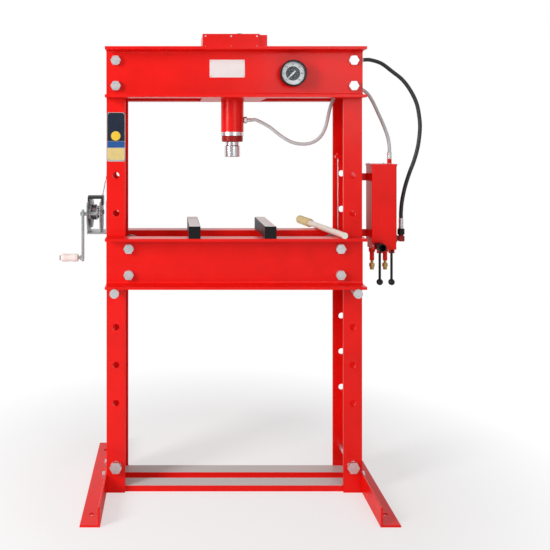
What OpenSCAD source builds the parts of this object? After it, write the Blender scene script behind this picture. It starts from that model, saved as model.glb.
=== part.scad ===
// Floor-standing H-frame hydraulic shop press with a winch-lifted bed and a side pump unit.
// X runs to the right, Y away from the front, Z up. The origin is on the floor, midway
// between the four anchor holes.

/* [Main channel section] */
// Depth of every main channel, over its flanges
channel_d = 200; // [160:5:240]
// Width of a channel flange
channel_w = 75; // [60:1:90]
// Thickness of a channel web
web_t = 9; // [6:0.5:12]
// Thickness of a channel flange
flange_t = 11; // [8:0.5:14]
// Radius of the root between web and flange
root_r = 10; // [6:1:14]

/* [Frame] */
// Width over the two upright webs
frame_w = 1030; // [900:5:1200]
// Height of the uprights
post_h = 1790; // [1600:5:2000]
// Distance of the bolt and pin line from an upright's web face
hole_in = 38; // [32:1:42]
// Diameter of the frame bolts
bolt_d = 20; // [16:1:24]
// Clearance round a bolt in its hole, on the radius
bolt_play = 0.5; // [0.3:0.1:1]
// Distance of the beam bolts above and below the beam's middle
beam_bolt_dz = 51; // [40:1:60]
// Height of the through bolts at the foot of the uprights
base_bolt_z = 106; // [95:1:130]
// Diameter of the through bolts at the foot of the uprights
base_bolt_d = 24; // [20:1:26]

/* [Feet] */
// Leg of the foot angle
foot_leg = 75; // [60:1:90]
// Thickness of the foot angle
foot_t = 8; // [6:0.5:12]
// Length of a foot
foot_l = 715; // [600:5:900]
// Height of the bolts that hold a foot to its upright
foot_bolt_z = 50; // [40:1:58]
// Diameter of the anchor holes
anchor_d = 18; // [12:1:22]
// Distance of an anchor hole from the end of its foot
anchor_end = 78; // [60:1:120]
// Width of a cross tie
tie_w = 64; // [50:1:80]
// Height of a cross tie
tie_h = 25; // [20:1:40]
// Wall of a cross tie
tie_t = 5; // [4:0.5:8]

/* [Bed] */
// Height of the first pair of pin holes
first_hole_z = 361; // [320:1:400]
// Distance from one pair of pin holes to the next
hole_pitch = 153; // [130:1:165]
// Number of pin holes in an upright
hole_count = 7; // [6:1:7]
// Pin hole that holds the bed, counted from 0
bed_hole = 3; // [2:1:4]
// Number of holes that the winch lifts the bed by
lift_holes = 2; // [1:1:2]
// Diameter of a bed pin
pin_d = 26; // [20:1:30]
// Gap between a pin and what it touches
pin_play = 0.3; // [0.2:0.05:0.5]
// Sliding gap between the bed and the uprights
bed_play = 1; // [0.5:0.1:2]
// Height of the bed's upper bolts above its underside
bed_bolt_high = 152; // [140:1:160]
// Height of the bed's lower bolts above its underside
bed_bolt_low = 47; // [44:1:60]
// Width of an arbor plate
arbor_w = 46; // [40:1:60]
// Height of an arbor plate
arbor_h = 50; // [40:1:60]
// Place of the left arbor plate's middle
left_arbor_x = -162; // [-220:1:-120]
// Place of the right arbor plate's middle
right_arbor_x = 136; // [120:1:220]

/* [Cylinder] */
// Outer diameter of the cylinder tube
tube_d = 94; // [88:1:110]
// Bore of the cylinder tube
tube_bore = 80; // [76:1:84]
// Length of the tube below the beam
tube_drop = 135; // [120:1:160]
// Diameter of the rod
rod_d = 60; // [50:1:65]
// Running gap round the rod, on the radius
rod_play = 0.05; // [0.02:0.01:0.09]
// Working stroke of the ram
stroke = 200; // [120:5:210]
// Diameter of the rod's nose
nose_d = 65; // [62:1:70]
// Length of the rod's nose
nose_h = 62; // [40:1:70]

/* [Winch and rope] */
// Height of the drum shaft
winch_z = 1119; // [1090:1:1150]
// Turns of the drum over the whole lift
drum_turns = 3.25; // [3:0.25:3.5]
// Gear module of the winch
gear_module = 2.2; // [2:0.1:2.3]
// Teeth of the drum gear
gear_teeth = 56; // [52:4:56]
// Teeth of the pinion
pinion_teeth = 14; // [13:1:14]
// Rope diameter
rope_d = 6; // [5:0.5:7]
// Radius of a sheave to the middle of its rope
sheave_r = 30; // [28:1:32]
// Distance of the rope behind the frame's middle plane
rope_y = 60; // [52:1:64]
// Height of the guide sheave and the rope anchor
guide_z = 1345; // [1338:1:1360]
// Length of the crank arm, shaft to grip
crank_l = 180; // [150:5:220]
// Diameter of the crank grip
grip_d = 33; // [28:1:38]
// Length of the crank grip
grip_l = 71; // [60:1:90]

/* [Gauge] */
// Diameter of the gauge case
gauge_d = 106; // [90:1:120]
// Depth of the gauge case
gauge_h = 42; // [36:1:50]
// Place of the gauge across the beam
gauge_x = 231; // [180:1:300]

/* [Pump unit] */
// Width of the oil tank
tank_w = 100; // [90:1:120]
// Depth of the oil tank
tank_d = 100; // [90:1:110]
// Height of the oil tank
tank_h = 320; // [280:5:360]
// Wall of the oil tank
tank_t = 3; // [2:0.5:4]
// Height of the tank's underside
tank_z = 1004; // [990:1:1040]
// Gap between the upright and the tank
tank_gap = 47; // [40:1:60]
// Middle of the tank, front to back
tank_y = -30; // [-40:1:-20]
// Length of a valve lever
lever_l = 125; // [110:1:140]
// Diameter of the pump handle
handle_d = 25; // [22:1:26]
// Length of the pump handle
handle_l = 600; // [560:5:640]
// Bore of the handle socket
socket_bore = 26; // [26:0.5:28]

/* [Top cover] */
// Width of the cover on the beam
cover_w = 232; // [200:1:260]
// Height of the cover on the beam
cover_h = 62; // [50:1:80]
// Thickness of the cover's sheet
cover_t = 3; // [2:0.5:4]

/* [Hoses] */
// Diameter of the return hose
grey_d = 14; // [12:1:16]
// Diameter of the pressure hose
black_d = 16; // [14:1:18]

/* [Hidden] */
$fn = 48;

RED = "#d3160f";
STEEL = "#c9cbce";
ZINC = "#a4a7aa";
BLACK = "#1a1a1c";
BRASS = "#b5893a";

half_d = channel_d / 2;
hole_x = frame_w / 2 - hole_in;
bolt_r = bolt_d / 2;
washer_t = 3;
cut = 1;

// the beam's channels end flush with the tops of the uprights
beam_z = post_h - channel_d;
beam_front_y = half_d + web_t;

// feet
anchor_x = frame_w / 2 + foot_leg - 35;
foot_bolt_r = 8;
foot_bolt_ys = [-55, 55];

// bed
pin_r = pin_d / 2;
pin_z = first_hole_z + bed_hole * hole_pitch;
bed_z = pin_z + pin_r + pin_play;
bed_top = bed_z + channel_d;
lift = lift_holes * hole_pitch;
bed_y = half_d + bed_play;
spacer_r = 14;
spacer_bore = bolt_r + bolt_play;
bed_bolt_x = frame_w / 2 - channel_w - bed_play - spacer_r;
pin_front = bed_y + channel_w + 2;
pin_head_h = 12;
pin_head_r = pin_r + 5;

// cylinder
tube_r = tube_d / 2;
tube_bottom = beam_z - tube_drop;
plate_t = 20;
top_plate_t = 12;
tube_top = post_h - top_plate_t;
plate_w = 260;
ring_h = 16;
collar_h = 25;
collar_r = tube_r - 3;
gland_bottom = tube_bottom - ring_h - collar_h;
spigot_h = 25;
spigot_play = 0.1;
piston_h = 40;
piston_z = tube_bottom + spigot_h + stroke + 10;
rod_r = rod_d / 2;
nose_z = gland_bottom - nose_h;
nose_tenon = 20;
port_z = tube_bottom + 50;
inlet_z = tube_top - 22;
pipe_r = 5;
boss_r = 9;
boss_l = 12;
crown_t = 12;
seal_z = 14;
seal_h = 10;
seal_root_r = tube_bore / 2 - 6;

// winch
drum_rope_r = 2 * lift / (360 * drum_turns) * (180 / PI);
rope_r = rope_d / 2;
rope_gap = 0.3;
drum_gap = 0.6;
drum_r = drum_rope_r - rope_r - drum_gap;
drum_y = rope_y - drum_rope_r;
gear_play = 0.15;
gear_pitch_r = gear_module * gear_teeth / 2;
centre_distance = gear_module * (gear_teeth + pinion_teeth) / 2 + gear_play;
crank_y = drum_y - centre_distance;
pressure_angle = 20;
backlash = 0.5;
web_x = -frame_w / 2;
cheek_t = 4;
winch_wall = 6;
inner_cheek_x = web_x - 32;
outer_cheek_x = web_x - 84;
cheek_gap = 1.5;
flange_r = drum_rope_r + 7;
gear_t = 8;
shaft_r = 9;
crank_shaft_r = 8;
shaft_play = 0.05;
winch_floor_z = winch_z - gear_pitch_r - gear_module - 12;
cheek_top_z = winch_z + 48;
drum_left = outer_cheek_x + cheek_t + cheek_gap;
drum_right = inner_cheek_x - cheek_gap;
run_x = drum_right - 13;
arm_t = 8;
arm_x = outer_cheek_x - 22;
grip_gap = 14;
grip_pin_r = 6;
ratchet_x = inner_cheek_x - 14;
ratchet_t = 6;
ratchet_r = 20;
ratchet_root = 15;
ratchet_teeth = 12;
pawl_dy = 26;
pawl_dz = 22;
key_gap = 0.04;
pawl_pin_r = 4;
pawl_open = 15;

// sheaves
sheave_w = 16;
sheave_rim = sheave_r + 4;
guide_x = -bed_bolt_x - 2 * sheave_r;
guide_pin_r = 8;
bed_sheave_z = bed_z + bed_bolt_high;
fall_x = bed_bolt_x + sheave_r;
collar_ring_r = 18;
collar_ring_w = 4;
side_gap = 0.4;
guide_half = sheave_w / 2 + side_gap;
guide_cheek_t = 5;

// gauge
gauge_z = beam_z + half_d - 3;
gauge_y = -beam_front_y;
bezel_t = 4;
stem_r = 8;
dial_z = 22;

// pump unit
tank_x = frame_w / 2 + tank_gap;
tank_mid_x = tank_x + tank_w / 2;
lid_t = 9;
tank_front = tank_y - tank_d / 2;
block_h = 28;
block_z = tank_z - block_h;
neck_x = tank_x + tank_w - 16;
neck_h = 19;
socket_x = tank_x + 21;
socket_y = tank_front - 12;
socket_z = tank_z - 10;
socket_r = socket_bore / 2 + 3;
socket_l = 46;
socket_lug_r = 12;
socket_pin_r = 5;
socket_start = 14;
ear_t = 5;
ear_gap = 0.5;
valve_y = tank_y;
valve_xs = [tank_x + 12, tank_x + 66];
lever_y = tank_front + 18;
lever_xs = [tank_x + 35, tank_x + 83];
lever_r = 5;
lug_r = 8;
lug_half = 5;
lever_pin_r = 3;
lever_pivot_z = block_z - 9;
ball_r = 13;
elbow_x = tank_x + tank_w + 32;
elbow_z = tank_z + 12;
elbow_r = 10;

// Routes of the two hoses, from the cylinder or beam to the pump unit
grey_route = [
    [80, 0, 1505], [100, 0, 1505], [152, 0, 1478], [204, 0, 1438], [248, 0, 1413],
    [292, 0, 1405], [332, 0, 1411], [364, 0, 1432], [386, 0, 1468], [398, 0, 1512],
    [408, 0, 1556], [425, 0, 1597], [455, 0, 1628], [495, 0, 1640], [530, 0, 1637],
    [560, -4, 1618], [582, -8, 1584], [602, -14, 1538], [624, -20, 1485],
    [641, -26, 1432], [646, -30, 1392], [646, -30, 1372]];
black_route = [
    [545, 0, 1756], [575, 0, 1756], [620, -4, 1741], [664, -9, 1707], [706, -14, 1671],
    [738, -19, 1625], [761, -23, 1573], [771, -26, 1517], [773, -28, 1468],
    [765, -29, 1400], [749, -30, 1340], [728, -30, 1284], [710, -30, 1226],
    [698, -30, 1168], [694, -30, 1124], [694, -30, 1100]];
grey_end = grey_route[len(grey_route) - 1];
black_end = black_route[len(black_route) - 1];
hose_hole_z = 1640;
bulkhead_r = 9;
hose_sides = 10;

// ---------- shared shapes ----------

// Channel along Z: web on X = 0, flanges to +X, centred on Y
module channel(length) {
    pocket_h = half_d - flange_t;
    linear_extrude(length) difference() {
        translate([0, -half_d]) square([channel_w, channel_d]);
        translate([web_t + root_r, -pocket_h]) square([channel_w, 2 * pocket_h]);
        translate([web_t, -pocket_h + root_r]) square([channel_w, 2 * (pocket_h - root_r)]);
        for (side = [-1, 1])
            translate([web_t + root_r, side * (pocket_h - root_r)]) circle(root_r);
    }
}

module y_bar(r, length) { rotate([-90, 0, 0]) cylinder(r = r, h = length); }

module x_bar(r, length) { rotate([0, 90, 0]) cylinder(r = r, h = length); }

module hex(af, h) { cylinder(r = af / 2 / cos(30), h = h, $fn = 6); }

// Bolt along +Z whose head lies under Z = 0, through a stack of the given thickness
module bolt_set(d, grip) {
    af = 1.8 * d;
    translate([0, 0, -washer_t]) cylinder(r = 0.525 * af, h = washer_t);
    translate([0, 0, -washer_t - 0.65 * d]) hex(af, 0.65 * d);
    cylinder(r = d / 2, h = grip + washer_t + d + 2);
    translate([0, 0, grip]) difference() {
        union() {
            cylinder(r = 0.525 * af, h = washer_t);
            translate([0, 0, washer_t]) hex(af, 0.8 * d);
        }
        translate([0, 0, -cut]) cylinder(r = d / 2 + 0.1, h = d + washer_t + 2 * cut);
    }
}

// Bolt holes of the beam in the XZ plane, on one side of the frame
module beam_bolt_points() {
    for (dz = [-beam_bolt_dz, beam_bolt_dz])
        translate([hole_x, 0, beam_z + half_d + dz]) children();
}

// ---------- frame ----------

module upright() {
    translate([-frame_w / 2, 0, 0]) channel(post_h);
}

module upright_holes() {
    hole_len = channel_d + 2 * cut;
    mirror([1, 0, 0]) {
        for (k = [0 : hole_count - 1])
            translate([hole_x, -hole_len / 2, first_hole_z + k * hole_pitch])
                y_bar(pin_r + pin_play, hole_len);
        beam_bolt_points() translate([0, -hole_len / 2, 0])
            y_bar(bolt_r + bolt_play, hole_len);
        translate([hole_x, -hole_len / 2, base_bolt_z])
            y_bar(base_bolt_d / 2 + bolt_play, hole_len);
        for (y = foot_bolt_ys) translate([frame_w / 2 - web_t - cut, y, foot_bolt_z])
            x_bar(foot_bolt_r + bolt_play, web_t + 2 * cut);
    }
}

module left_upright() {
    slot_h = 2 * sheave_rim + 10;
    slot_w = sheave_w + 5;
    color(RED) difference() {
        upright();
        upright_holes();
        translate([-frame_w / 2 - cut, rope_y - slot_w / 2, guide_z - slot_h / 2])
            cube([web_t + 2 * cut, slot_w, slot_h]);
    }
}

module right_upright() {
    color(RED) difference() {
        mirror([1, 0, 0]) difference() {
            upright();
            upright_holes();
        }
        translate([frame_w / 2 - web_t - cut, 0, hose_hole_z])
            x_bar(grey_d / 2 + 6, web_t + 2 * cut);
        translate([frame_w / 2 - web_t - cut, 0, inlet_z])
            x_bar(bulkhead_r + bolt_play, web_t + 2 * cut);
    }
}

// Channel lying along X with its web towards the frame's middle plane
module lying_channel(web_y, z) {
    translate([-frame_w / 2, web_y, z + half_d]) rotate([0, 90, 0]) rotate([0, 0, 90])
        rotate([0, 0, 180]) channel(frame_w);
}

module top_front_channel() {
    color(RED) difference() {
        lying_channel(-half_d, beam_z);
        for (side = [0, 1]) mirror([side, 0, 0]) beam_bolt_points()
            translate([0, -beam_front_y - cut, 0]) y_bar(bolt_r + bolt_play, web_t + 2 * cut);
        translate([gauge_x, -beam_front_y - cut, gauge_z])
            y_bar(stem_r + bolt_play, web_t + 2 * cut);
    }
}

module top_rear_channel() {
    color(RED) mirror([0, 1, 0]) difference() {
        lying_channel(-half_d, beam_z);
        for (side = [0, 1]) mirror([side, 0, 0]) beam_bolt_points()
            translate([0, -beam_front_y - cut, 0]) y_bar(bolt_r + bolt_play, web_t + 2 * cut);
    }
}

module beam_bolts() {
    color(STEEL) for (left = [0, 1], rear = [0, 1])
        mirror([left, 0, 0]) mirror([0, rear, 0]) beam_bolt_points()
            translate([0, -beam_front_y, 0]) rotate([-90, 0, 0])
                bolt_set(bolt_d, web_t + flange_t);
}

module foot() {
    color(RED) difference() {
        translate([frame_w / 2, foot_l / 2, 0]) rotate([90, 0, 0]) linear_extrude(foot_l)
            polygon([[0, 0], [foot_leg, 0], [foot_leg, foot_t - 2], [foot_leg - 2, foot_t],
                [foot_t + 5, foot_t], [foot_t, foot_t + 5], [foot_t, foot_leg - 3],
                [foot_t - 3, foot_leg], [0, foot_leg]]);
        for (side = [-1, 1])
            translate([anchor_x, side * (foot_l / 2 - anchor_end), -cut])
                cylinder(r = anchor_d / 2, h = foot_t + 2 * cut);
        for (y = foot_bolt_ys) translate([frame_w / 2 - cut, y, foot_bolt_z])
            x_bar(foot_bolt_r + bolt_play, foot_t + 2 * cut);
    }
}

module left_foot() { mirror([1, 0, 0]) foot(); }

module right_foot() { foot(); }

module cross_ties() {
    inner = frame_w / 2 - web_t;
    lip_y = half_d - flange_t;
    color(RED) for (rear = [0, 1]) mirror([0, rear, 0])
        translate([-inner + root_r, -lip_y, 0]) difference() {
            cube([2 * (inner - root_r), tie_w, tie_h]);
            translate([-cut, tie_t, -cut])
                cube([2 * inner + 2 * cut, tie_w - 2 * tie_t, tie_h - tie_t + cut]);
        }
}

module base_bolts() {
    color(STEEL) {
        for (side = [-1, 1]) translate([side * hole_x, -half_d, base_bolt_z])
            rotate([-90, 0, 0]) bolt_set(base_bolt_d, channel_d);
        for (side = [0, 1], y = foot_bolt_ys) mirror([side, 0, 0])
            translate([frame_w / 2 + foot_t, y, foot_bolt_z]) rotate([0, -90, 0])
                bolt_set(2 * foot_bolt_r, foot_t + web_t);
    }
}

// ---------- cylinder and ram ----------

module cylinder_plates() {
    color(RED) {
        translate([-plate_w / 2, -half_d, beam_z]) difference() {
            cube([plate_w, channel_d, plate_t]);
            translate([plate_w / 2, half_d, -cut])
                cylinder(r = tube_r + rope_gap, h = plate_t + 2 * cut);
        }
        translate([-plate_w / 2, -half_d, post_h - top_plate_t])
            cube([plate_w, channel_d, top_plate_t]);
    }
}

module cylinder_tube() {
    color(RED) difference() {
        union() {
            translate([0, 0, tube_bottom]) cylinder(r = tube_r, h = tube_top - tube_bottom);
            translate([0, 0, beam_z + plate_t]) cylinder(r = tube_r + 14, h = 18);
        }
        translate([0, 0, tube_bottom - cut])
            cylinder(r = tube_bore / 2, h = tube_top - crown_t - tube_bottom + cut);
        translate([0, 0, inlet_z]) x_bar(pipe_r - 1, tube_r + cut);
        translate([0, 0, port_z]) x_bar(pipe_r - 1, tube_r + cut);
    }
}

module cylinder_gland() {
    color(RED) translate([0, 0, gland_bottom]) rotate_extrude() difference() {
        union() {
            polygon([[0, 0], [collar_r - 4, 0], [collar_r, 4], [collar_r, collar_h],
                [tube_r, collar_h + 1], [tube_r, collar_h + ring_h], [0, collar_h + ring_h]]);
            translate([0, collar_h]) square([tube_bore / 2 - spigot_play, ring_h + spigot_h]);
        }
        translate([0, -cut]) square([rod_r + rod_play, collar_h + ring_h + spigot_h + 2 * cut]);
    }
}

// Pipe inside the beam, from the bulkhead fitting to the top of the tube
module pressure_pipe() {
    start = tube_r + 0.1;
    color(STEEL) translate([0, 0, inlet_z]) {
        translate([start, 0, 0]) x_bar(boss_r, boss_l);
        translate([start + boss_l, 0, 0])
            x_bar(pipe_r, frame_w / 2 - web_t - 2 * boss_l - start);
        translate([frame_w / 2 - web_t - boss_l, 0, 0]) x_bar(boss_r, boss_l);
    }
}

module ram_rod() {
    color(STEEL) {
        translate([0, 0, gland_bottom - nose_tenon])
            cylinder(r = rod_r - 8, h = nose_tenon);
        translate([0, 0, gland_bottom]) cylinder(r = rod_r, h = piston_z - gland_bottom);
        translate([0, 0, piston_z]) difference() {
            cylinder(r = tube_bore / 2 - 0.05, h = piston_h);
            translate([0, 0, seal_z]) difference() {
                cylinder(r = tube_bore, h = seal_h);
                translate([0, 0, -cut]) cylinder(r = seal_root_r, h = seal_h + 2 * cut);
            }
        }
    }
}

module piston_seal() {
    color(BLACK) translate([0, 0, piston_z + seal_z + 0.1]) difference() {
        cylinder(r = tube_bore / 2 - 0.08, h = seal_h - 0.2);
        translate([0, 0, -cut]) cylinder(r = seal_root_r + 0.1, h = seal_h + 2 * cut);
    }
}

module ram_nose() {
    tenon_hole = rod_r - 8 + 0.1;
    color(STEEL) translate([0, 0, nose_z]) rotate_extrude() polygon([
        [0, 0], [nose_d / 2 - 3, 0], [nose_d / 2, 3], [nose_d / 2, nose_h - 18],
        [nose_d / 2 - 4, nose_h - 14], [nose_d / 2 - 4, nose_h - 0.3], [tenon_hole, nose_h - 0.3],
        [tenon_hole, nose_h - nose_tenon - 0.5], [0, nose_h - nose_tenon - 0.5]]);
}

module top_cover() {
    cover_d = 0.85 * channel_d;
    color(RED) translate([-cover_w / 2 - 11, -cover_d / 2, post_h]) {
        difference() {
            cube([cover_w, cover_d, cover_h]);
            translate([cover_t, cover_t, -cut])
                cube([cover_w - 2 * cover_t, cover_d - 2 * cover_t, cover_h - cover_t + cut]);
        }
        translate([cover_w, 4, 0]) difference() {
            cube([30, cover_d - 8, cover_h - 4]);
            translate([-cut, cover_t, -cut])
                cube([30 - cover_t + cut, cover_d - 8 - 2 * cover_t, cover_h - 4 - cover_t + cut]);
        }
    }
}

// ---------- gauge ----------

module at_gauge() {
    translate([gauge_x, gauge_y, gauge_z]) rotate([90, 0, 0]) children();
}

module gauge_case() {
    r = gauge_d / 2;
    color(BLACK) at_gauge() {
        rotate_extrude() polygon([[0, 0], [r - 6, 0], [r - 3, 3], [r - 3, gauge_h - 9],
            [r, gauge_h - 7], [r, gauge_h - 2], [r - 2, gauge_h], [r - 6, gauge_h],
            [r - 7, gauge_h - 2], [r - 7, 8], [0, 8]]);
        translate([0, 0, -web_t - 10]) cylinder(r = stem_r, h = web_t + 10);
    }
}

module gauge_dial() {
    color("white") at_gauge() translate([0, 0, 8]) difference() {
        cylinder(r = gauge_d / 2 - 7.2, h = dial_z - 8);
        translate([0, 0, 6]) cylinder(r = 4.05, h = dial_z);
    }
}

module gauge_needle() {
    needle_l = gauge_d / 2 - 17;
    color(BLACK) at_gauge() {
        translate([0, 0, dial_z - 6]) cylinder(r = 4, h = 10);
        translate([0, 0, dial_z + 1.5]) rotate([0, 0, 225]) linear_extrude(1.5)
            polygon([[-14, -2.5], [-14, 2.5], [0, 3], [needle_l, 0.8], [needle_l, -0.8], [0, -3]]);
    }
}

module gauge_glass() {
    color([0.9, 0.95, 1, 0.35]) at_gauge() translate([0, 0, gauge_h - 6])
        cylinder(r = gauge_d / 2 - 7.2, h = 3);
}

// ---------- winch and rope ----------

// Outline in the YZ plane, extruded towards +X
module yz_plate(x, t) {
    translate([x, 0, 0]) rotate([90, 0, 90]) linear_extrude(t) children();
}

module cheek_outline() {
    front = crank_y - 30;
    back = drum_y + flange_r + 6;
    top = cheek_top_z;
    low = winch_floor_z;
    polygon([[front + 20, low], [back - 20, low], [back, low + 20], [back, winch_z + 10],
        [drum_y + 26, top], [front + 12, top], [front, top - 12], [front, winch_z - 26]]);
}

module winch_frame() {
    front = crank_y - 14;
    depth = drum_y + flange_r - front;
    color(ZINC) difference() {
        union() {
            yz_plate(inner_cheek_x, cheek_t) cheek_outline();
            yz_plate(outer_cheek_x, cheek_t) cheek_outline();
            translate([outer_cheek_x, front, winch_floor_z - winch_wall])
                cube([web_x - outer_cheek_x, depth, winch_wall]);
            translate([web_x - winch_wall, front, winch_floor_z - winch_wall])
                cube([winch_wall, depth, cheek_top_z - winch_floor_z + 2 * winch_wall]);
        }
        translate([outer_cheek_x - cut, drum_y, winch_z])
            x_bar(shaft_r + shaft_play, inner_cheek_x - outer_cheek_x + cheek_t + 2 * cut);
        translate([outer_cheek_x - cut, crank_y, winch_z])
            x_bar(crank_shaft_r + shaft_play, inner_cheek_x - outer_cheek_x + cheek_t + 2 * cut);
        translate([inner_cheek_x - cut, crank_y + pawl_dy, winch_z + pawl_dz])
            x_bar(pawl_pin_r + 0.02, cheek_t + 2 * cut);
    }
}

// Guard bent round the top of the drum gear, with a flap on the outside of each cheek
module winch_cover() {
    gap = 3;
    inner_r = gear_pitch_r + gear_module + gap;
    flap_low = 30;
    front = 34;
    width = 56;
    module arc(hole_r) {
        translate([drum_y, winch_z]) intersection() {
            difference() {
                circle(inner_r + cheek_t, $fn = 96);
                circle(hole_r, $fn = 96);
            }
            translate([-front, flap_low]) square([width, inner_r]);
        }
    }
    color(BLACK) {
        yz_plate(outer_cheek_x, inner_cheek_x + cheek_t - outer_cheek_x) arc(inner_r);
        yz_plate(outer_cheek_x - cheek_t, cheek_t) arc(flap_low);
        yz_plate(inner_cheek_x + cheek_t, cheek_t) arc(flap_low);
    }
}

// Half thickness of an involute tooth at a radius, as an angle about the gear's axis
function inv(a) = tan(a) - a * PI / 180;
function tooth_half(r, pitch_r, base_r) =
    ((PI * gear_module / 2 - backlash) / 2 / pitch_r + inv(pressure_angle)
        - inv(r > base_r ? acos(base_r / r) : 0)) * 180 / PI;
function polar(r, a) = [r * cos(a), r * sin(a)];

function gear_points(teeth, phase) = let (
    pitch_r = gear_module * teeth / 2,
    base_r = pitch_r * cos(pressure_angle),
    tip_r = pitch_r + 0.8 * gear_module,
    root_r = pitch_r - 1.1 * gear_module,
    start_r = max(base_r, root_r),
    radii = [start_r, (start_r + tip_r) / 2, tip_r])
    [for (i = [0 : teeth - 1]) let (mid = (i + phase) * 360 / teeth,
        start_a = tooth_half(start_r, pitch_r, base_r))
        each concat(
            start_r > root_r ? [polar(root_r, mid - start_a)] : [],
            [for (r = radii) polar(r, mid - tooth_half(r, pitch_r, base_r))],
            [for (k = [2 : -1 : 0]) polar(radii[k], mid + tooth_half(radii[k], pitch_r, base_r))],
            start_r > root_r ? [polar(root_r, mid + start_a)] : [])];

module drum_gear() {
    color(ZINC) yz_plate(drum_left, gear_t) translate([drum_y, winch_z]) difference() {
        polygon(gear_points(gear_teeth, 0));
        circle(shaft_r + 0.1);
        for (a = [0 : 60 : 300]) rotate(a) translate([0.68 * gear_pitch_r, 0]) circle(8);
    }
}

module winch_drum() {
    barrel_x = drum_left + gear_t;
    color(ZINC) translate([0, drum_y, winch_z]) {
        translate([outer_cheek_x - 6, 0, 0])
            x_bar(shaft_r, inner_cheek_x - outer_cheek_x + cheek_t + 12);
        translate([barrel_x, 0, 0]) x_bar(drum_r, drum_right - barrel_x);
        translate([drum_right - 4, 0, 0]) x_bar(flange_r, 4);
    }
}

module drum_rope() {
    turns = 3;
    turn_pitch = rope_d + 0.2;
    color(STEEL) for (k = [1 : turns])
        translate([run_x - k * turn_pitch - 0.6, drum_y, winch_z]) rotate([0, 90, 0])
            rotate_extrude() translate([drum_rope_r, 0]) circle(rope_r, $fn = 16);
}

// Outline keyed on the crank shaft
module keyed_plate(x, t) {
    yz_plate(x, t) translate([crank_y, winch_z]) difference() {
        children();
        circle(crank_shaft_r + key_gap);
    }
}

// Shaft with its pinion and its ratchet wheel, whose teeth let the bed be wound up
module crank_shaft() {
    pinion_t = gear_t + 1;
    step = 360 / ratchet_teeth;
    color(ZINC) {
        translate([arm_x - 6, crank_y, winch_z])
            x_bar(crank_shaft_r, inner_cheek_x + cheek_t + 6 - arm_x + 6);
        keyed_plate(drum_left - 0.5, pinion_t) polygon(gear_points(pinion_teeth, 0.5));
        keyed_plate(ratchet_x, ratchet_t) polygon([for (i = [0 : ratchet_teeth - 1])
            let (a = 90 - i * step) each [polar(ratchet_root, a), polar(ratchet_r, a - step)]]);
    }
}

module crank_arm() {
    arm_w = 30;
    hub_r = 18;
    color(ZINC) yz_plate(arm_x, arm_t) translate([crank_y, winch_z]) difference() {
        union() {
            circle(hub_r);
            translate([-arm_w / 2, -crank_l]) square([arm_w, crank_l]);
            translate([0, -crank_l]) circle(arm_w / 2);
        }
        circle(crank_shaft_r + key_gap);
        translate([0, -crank_l]) circle(grip_pin_r + key_gap);
    }
    color(ZINC) translate([arm_x - grip_gap - grip_l - 6, crank_y, winch_z - crank_l]) {
        x_bar(grip_pin_r, grip_gap + grip_l + 6 + arm_t - 0.5);
        x_bar(grip_pin_r + 4, 5);
        translate([grip_l + grip_gap - 2, 0, 0]) x_bar(grip_pin_r + 4, 8);
    }
}

module crank_grip() {
    r = grip_d / 2;
    color("#f0d8d4") translate([arm_x - grip_gap - grip_l, crank_y, winch_z - crank_l])
        rotate([0, 90, 0]) rotate_extrude() polygon([[grip_pin_r + shaft_play, 0],
            [r - 5, 0], [r - 1, 4], [r, 12], [r - 1.5, grip_l * 0.5], [r, grip_l - 14],
            [r - 1, grip_l - 4], [r - 5, grip_l], [grip_pin_r + shaft_play, grip_l]]);
}

// The pawl is drawn where it would lie against a tooth, then swung clear of the wheel
module pawl() {
    reach = polar(17.6, 83) - [pawl_dy, pawl_dz];
    color(ZINC) translate([0, crank_y + pawl_dy, winch_z + pawl_dz]) rotate([-pawl_open, 0, 0])
        yz_plate(ratchet_x, ratchet_t) difference() {
            union() {
                circle(8);
                polygon([[-4, -6], [-10, -1], reach + [3.6, 3.5], reach + [1.5, 0.4],
                    reach + [-1, 0], reach + [-1.6, 3], reach + [2, 8], [-4, 6.5]]);
            }
            circle(pawl_pin_r + shaft_play);
        }
}

module pivot_pins() {
    color(STEEL) {
        translate([ratchet_x - 3, crank_y + pawl_dy, winch_z + pawl_dz])
            x_bar(pawl_pin_r, inner_cheek_x + cheek_t + 2 - ratchet_x + 3);
        translate([guide_x, rope_y - guide_half - guide_cheek_t - 3, guide_z])
            y_bar(guide_pin_r, 2 * (guide_half + guide_cheek_t + 3));
        translate([socket_x - socket_r - ear_gap - ear_t - 2, socket_y, socket_z])
            x_bar(socket_pin_r, 2 * (socket_r + ear_gap + ear_t + 2));
        for (x = lever_xs) translate([x - lug_half - ear_gap - ear_t - 1, lever_y, lever_pivot_z])
            x_bar(lever_pin_r, 2 * (lug_half + ear_gap + ear_t + 1));
    }
}

module guide_bracket() {
    height = 90;
    base_w = 60;
    base_back = 18;
    inner_x = -frame_w / 2 + web_t;
    slot_w = sheave_w + 5;
    slot_h = 2 * sheave_rim + 10;
    color(RED) difference() {
        union() {
            translate([inner_x, rope_y - base_w / 2, guide_z - height / 2 - 5])
                cube([4, base_w / 2 + base_back, height + 10]);
            for (side = [-1, 1])
                translate([inner_x, rope_y - guide_cheek_t / 2
                    + side * (guide_half + guide_cheek_t / 2), guide_z - 20])
                    cube([guide_x - inner_x + 14, guide_cheek_t, 40]);
        }
        translate([inner_x - cut, rope_y - slot_w / 2 + 2.1, guide_z - slot_h / 2])
            cube([4 + 2 * cut, slot_w - 4.2, slot_h]);
        translate([guide_x, rope_y - base_w, guide_z])
            y_bar(guide_pin_r + 0.02, 2 * base_w);
    }
}

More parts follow.
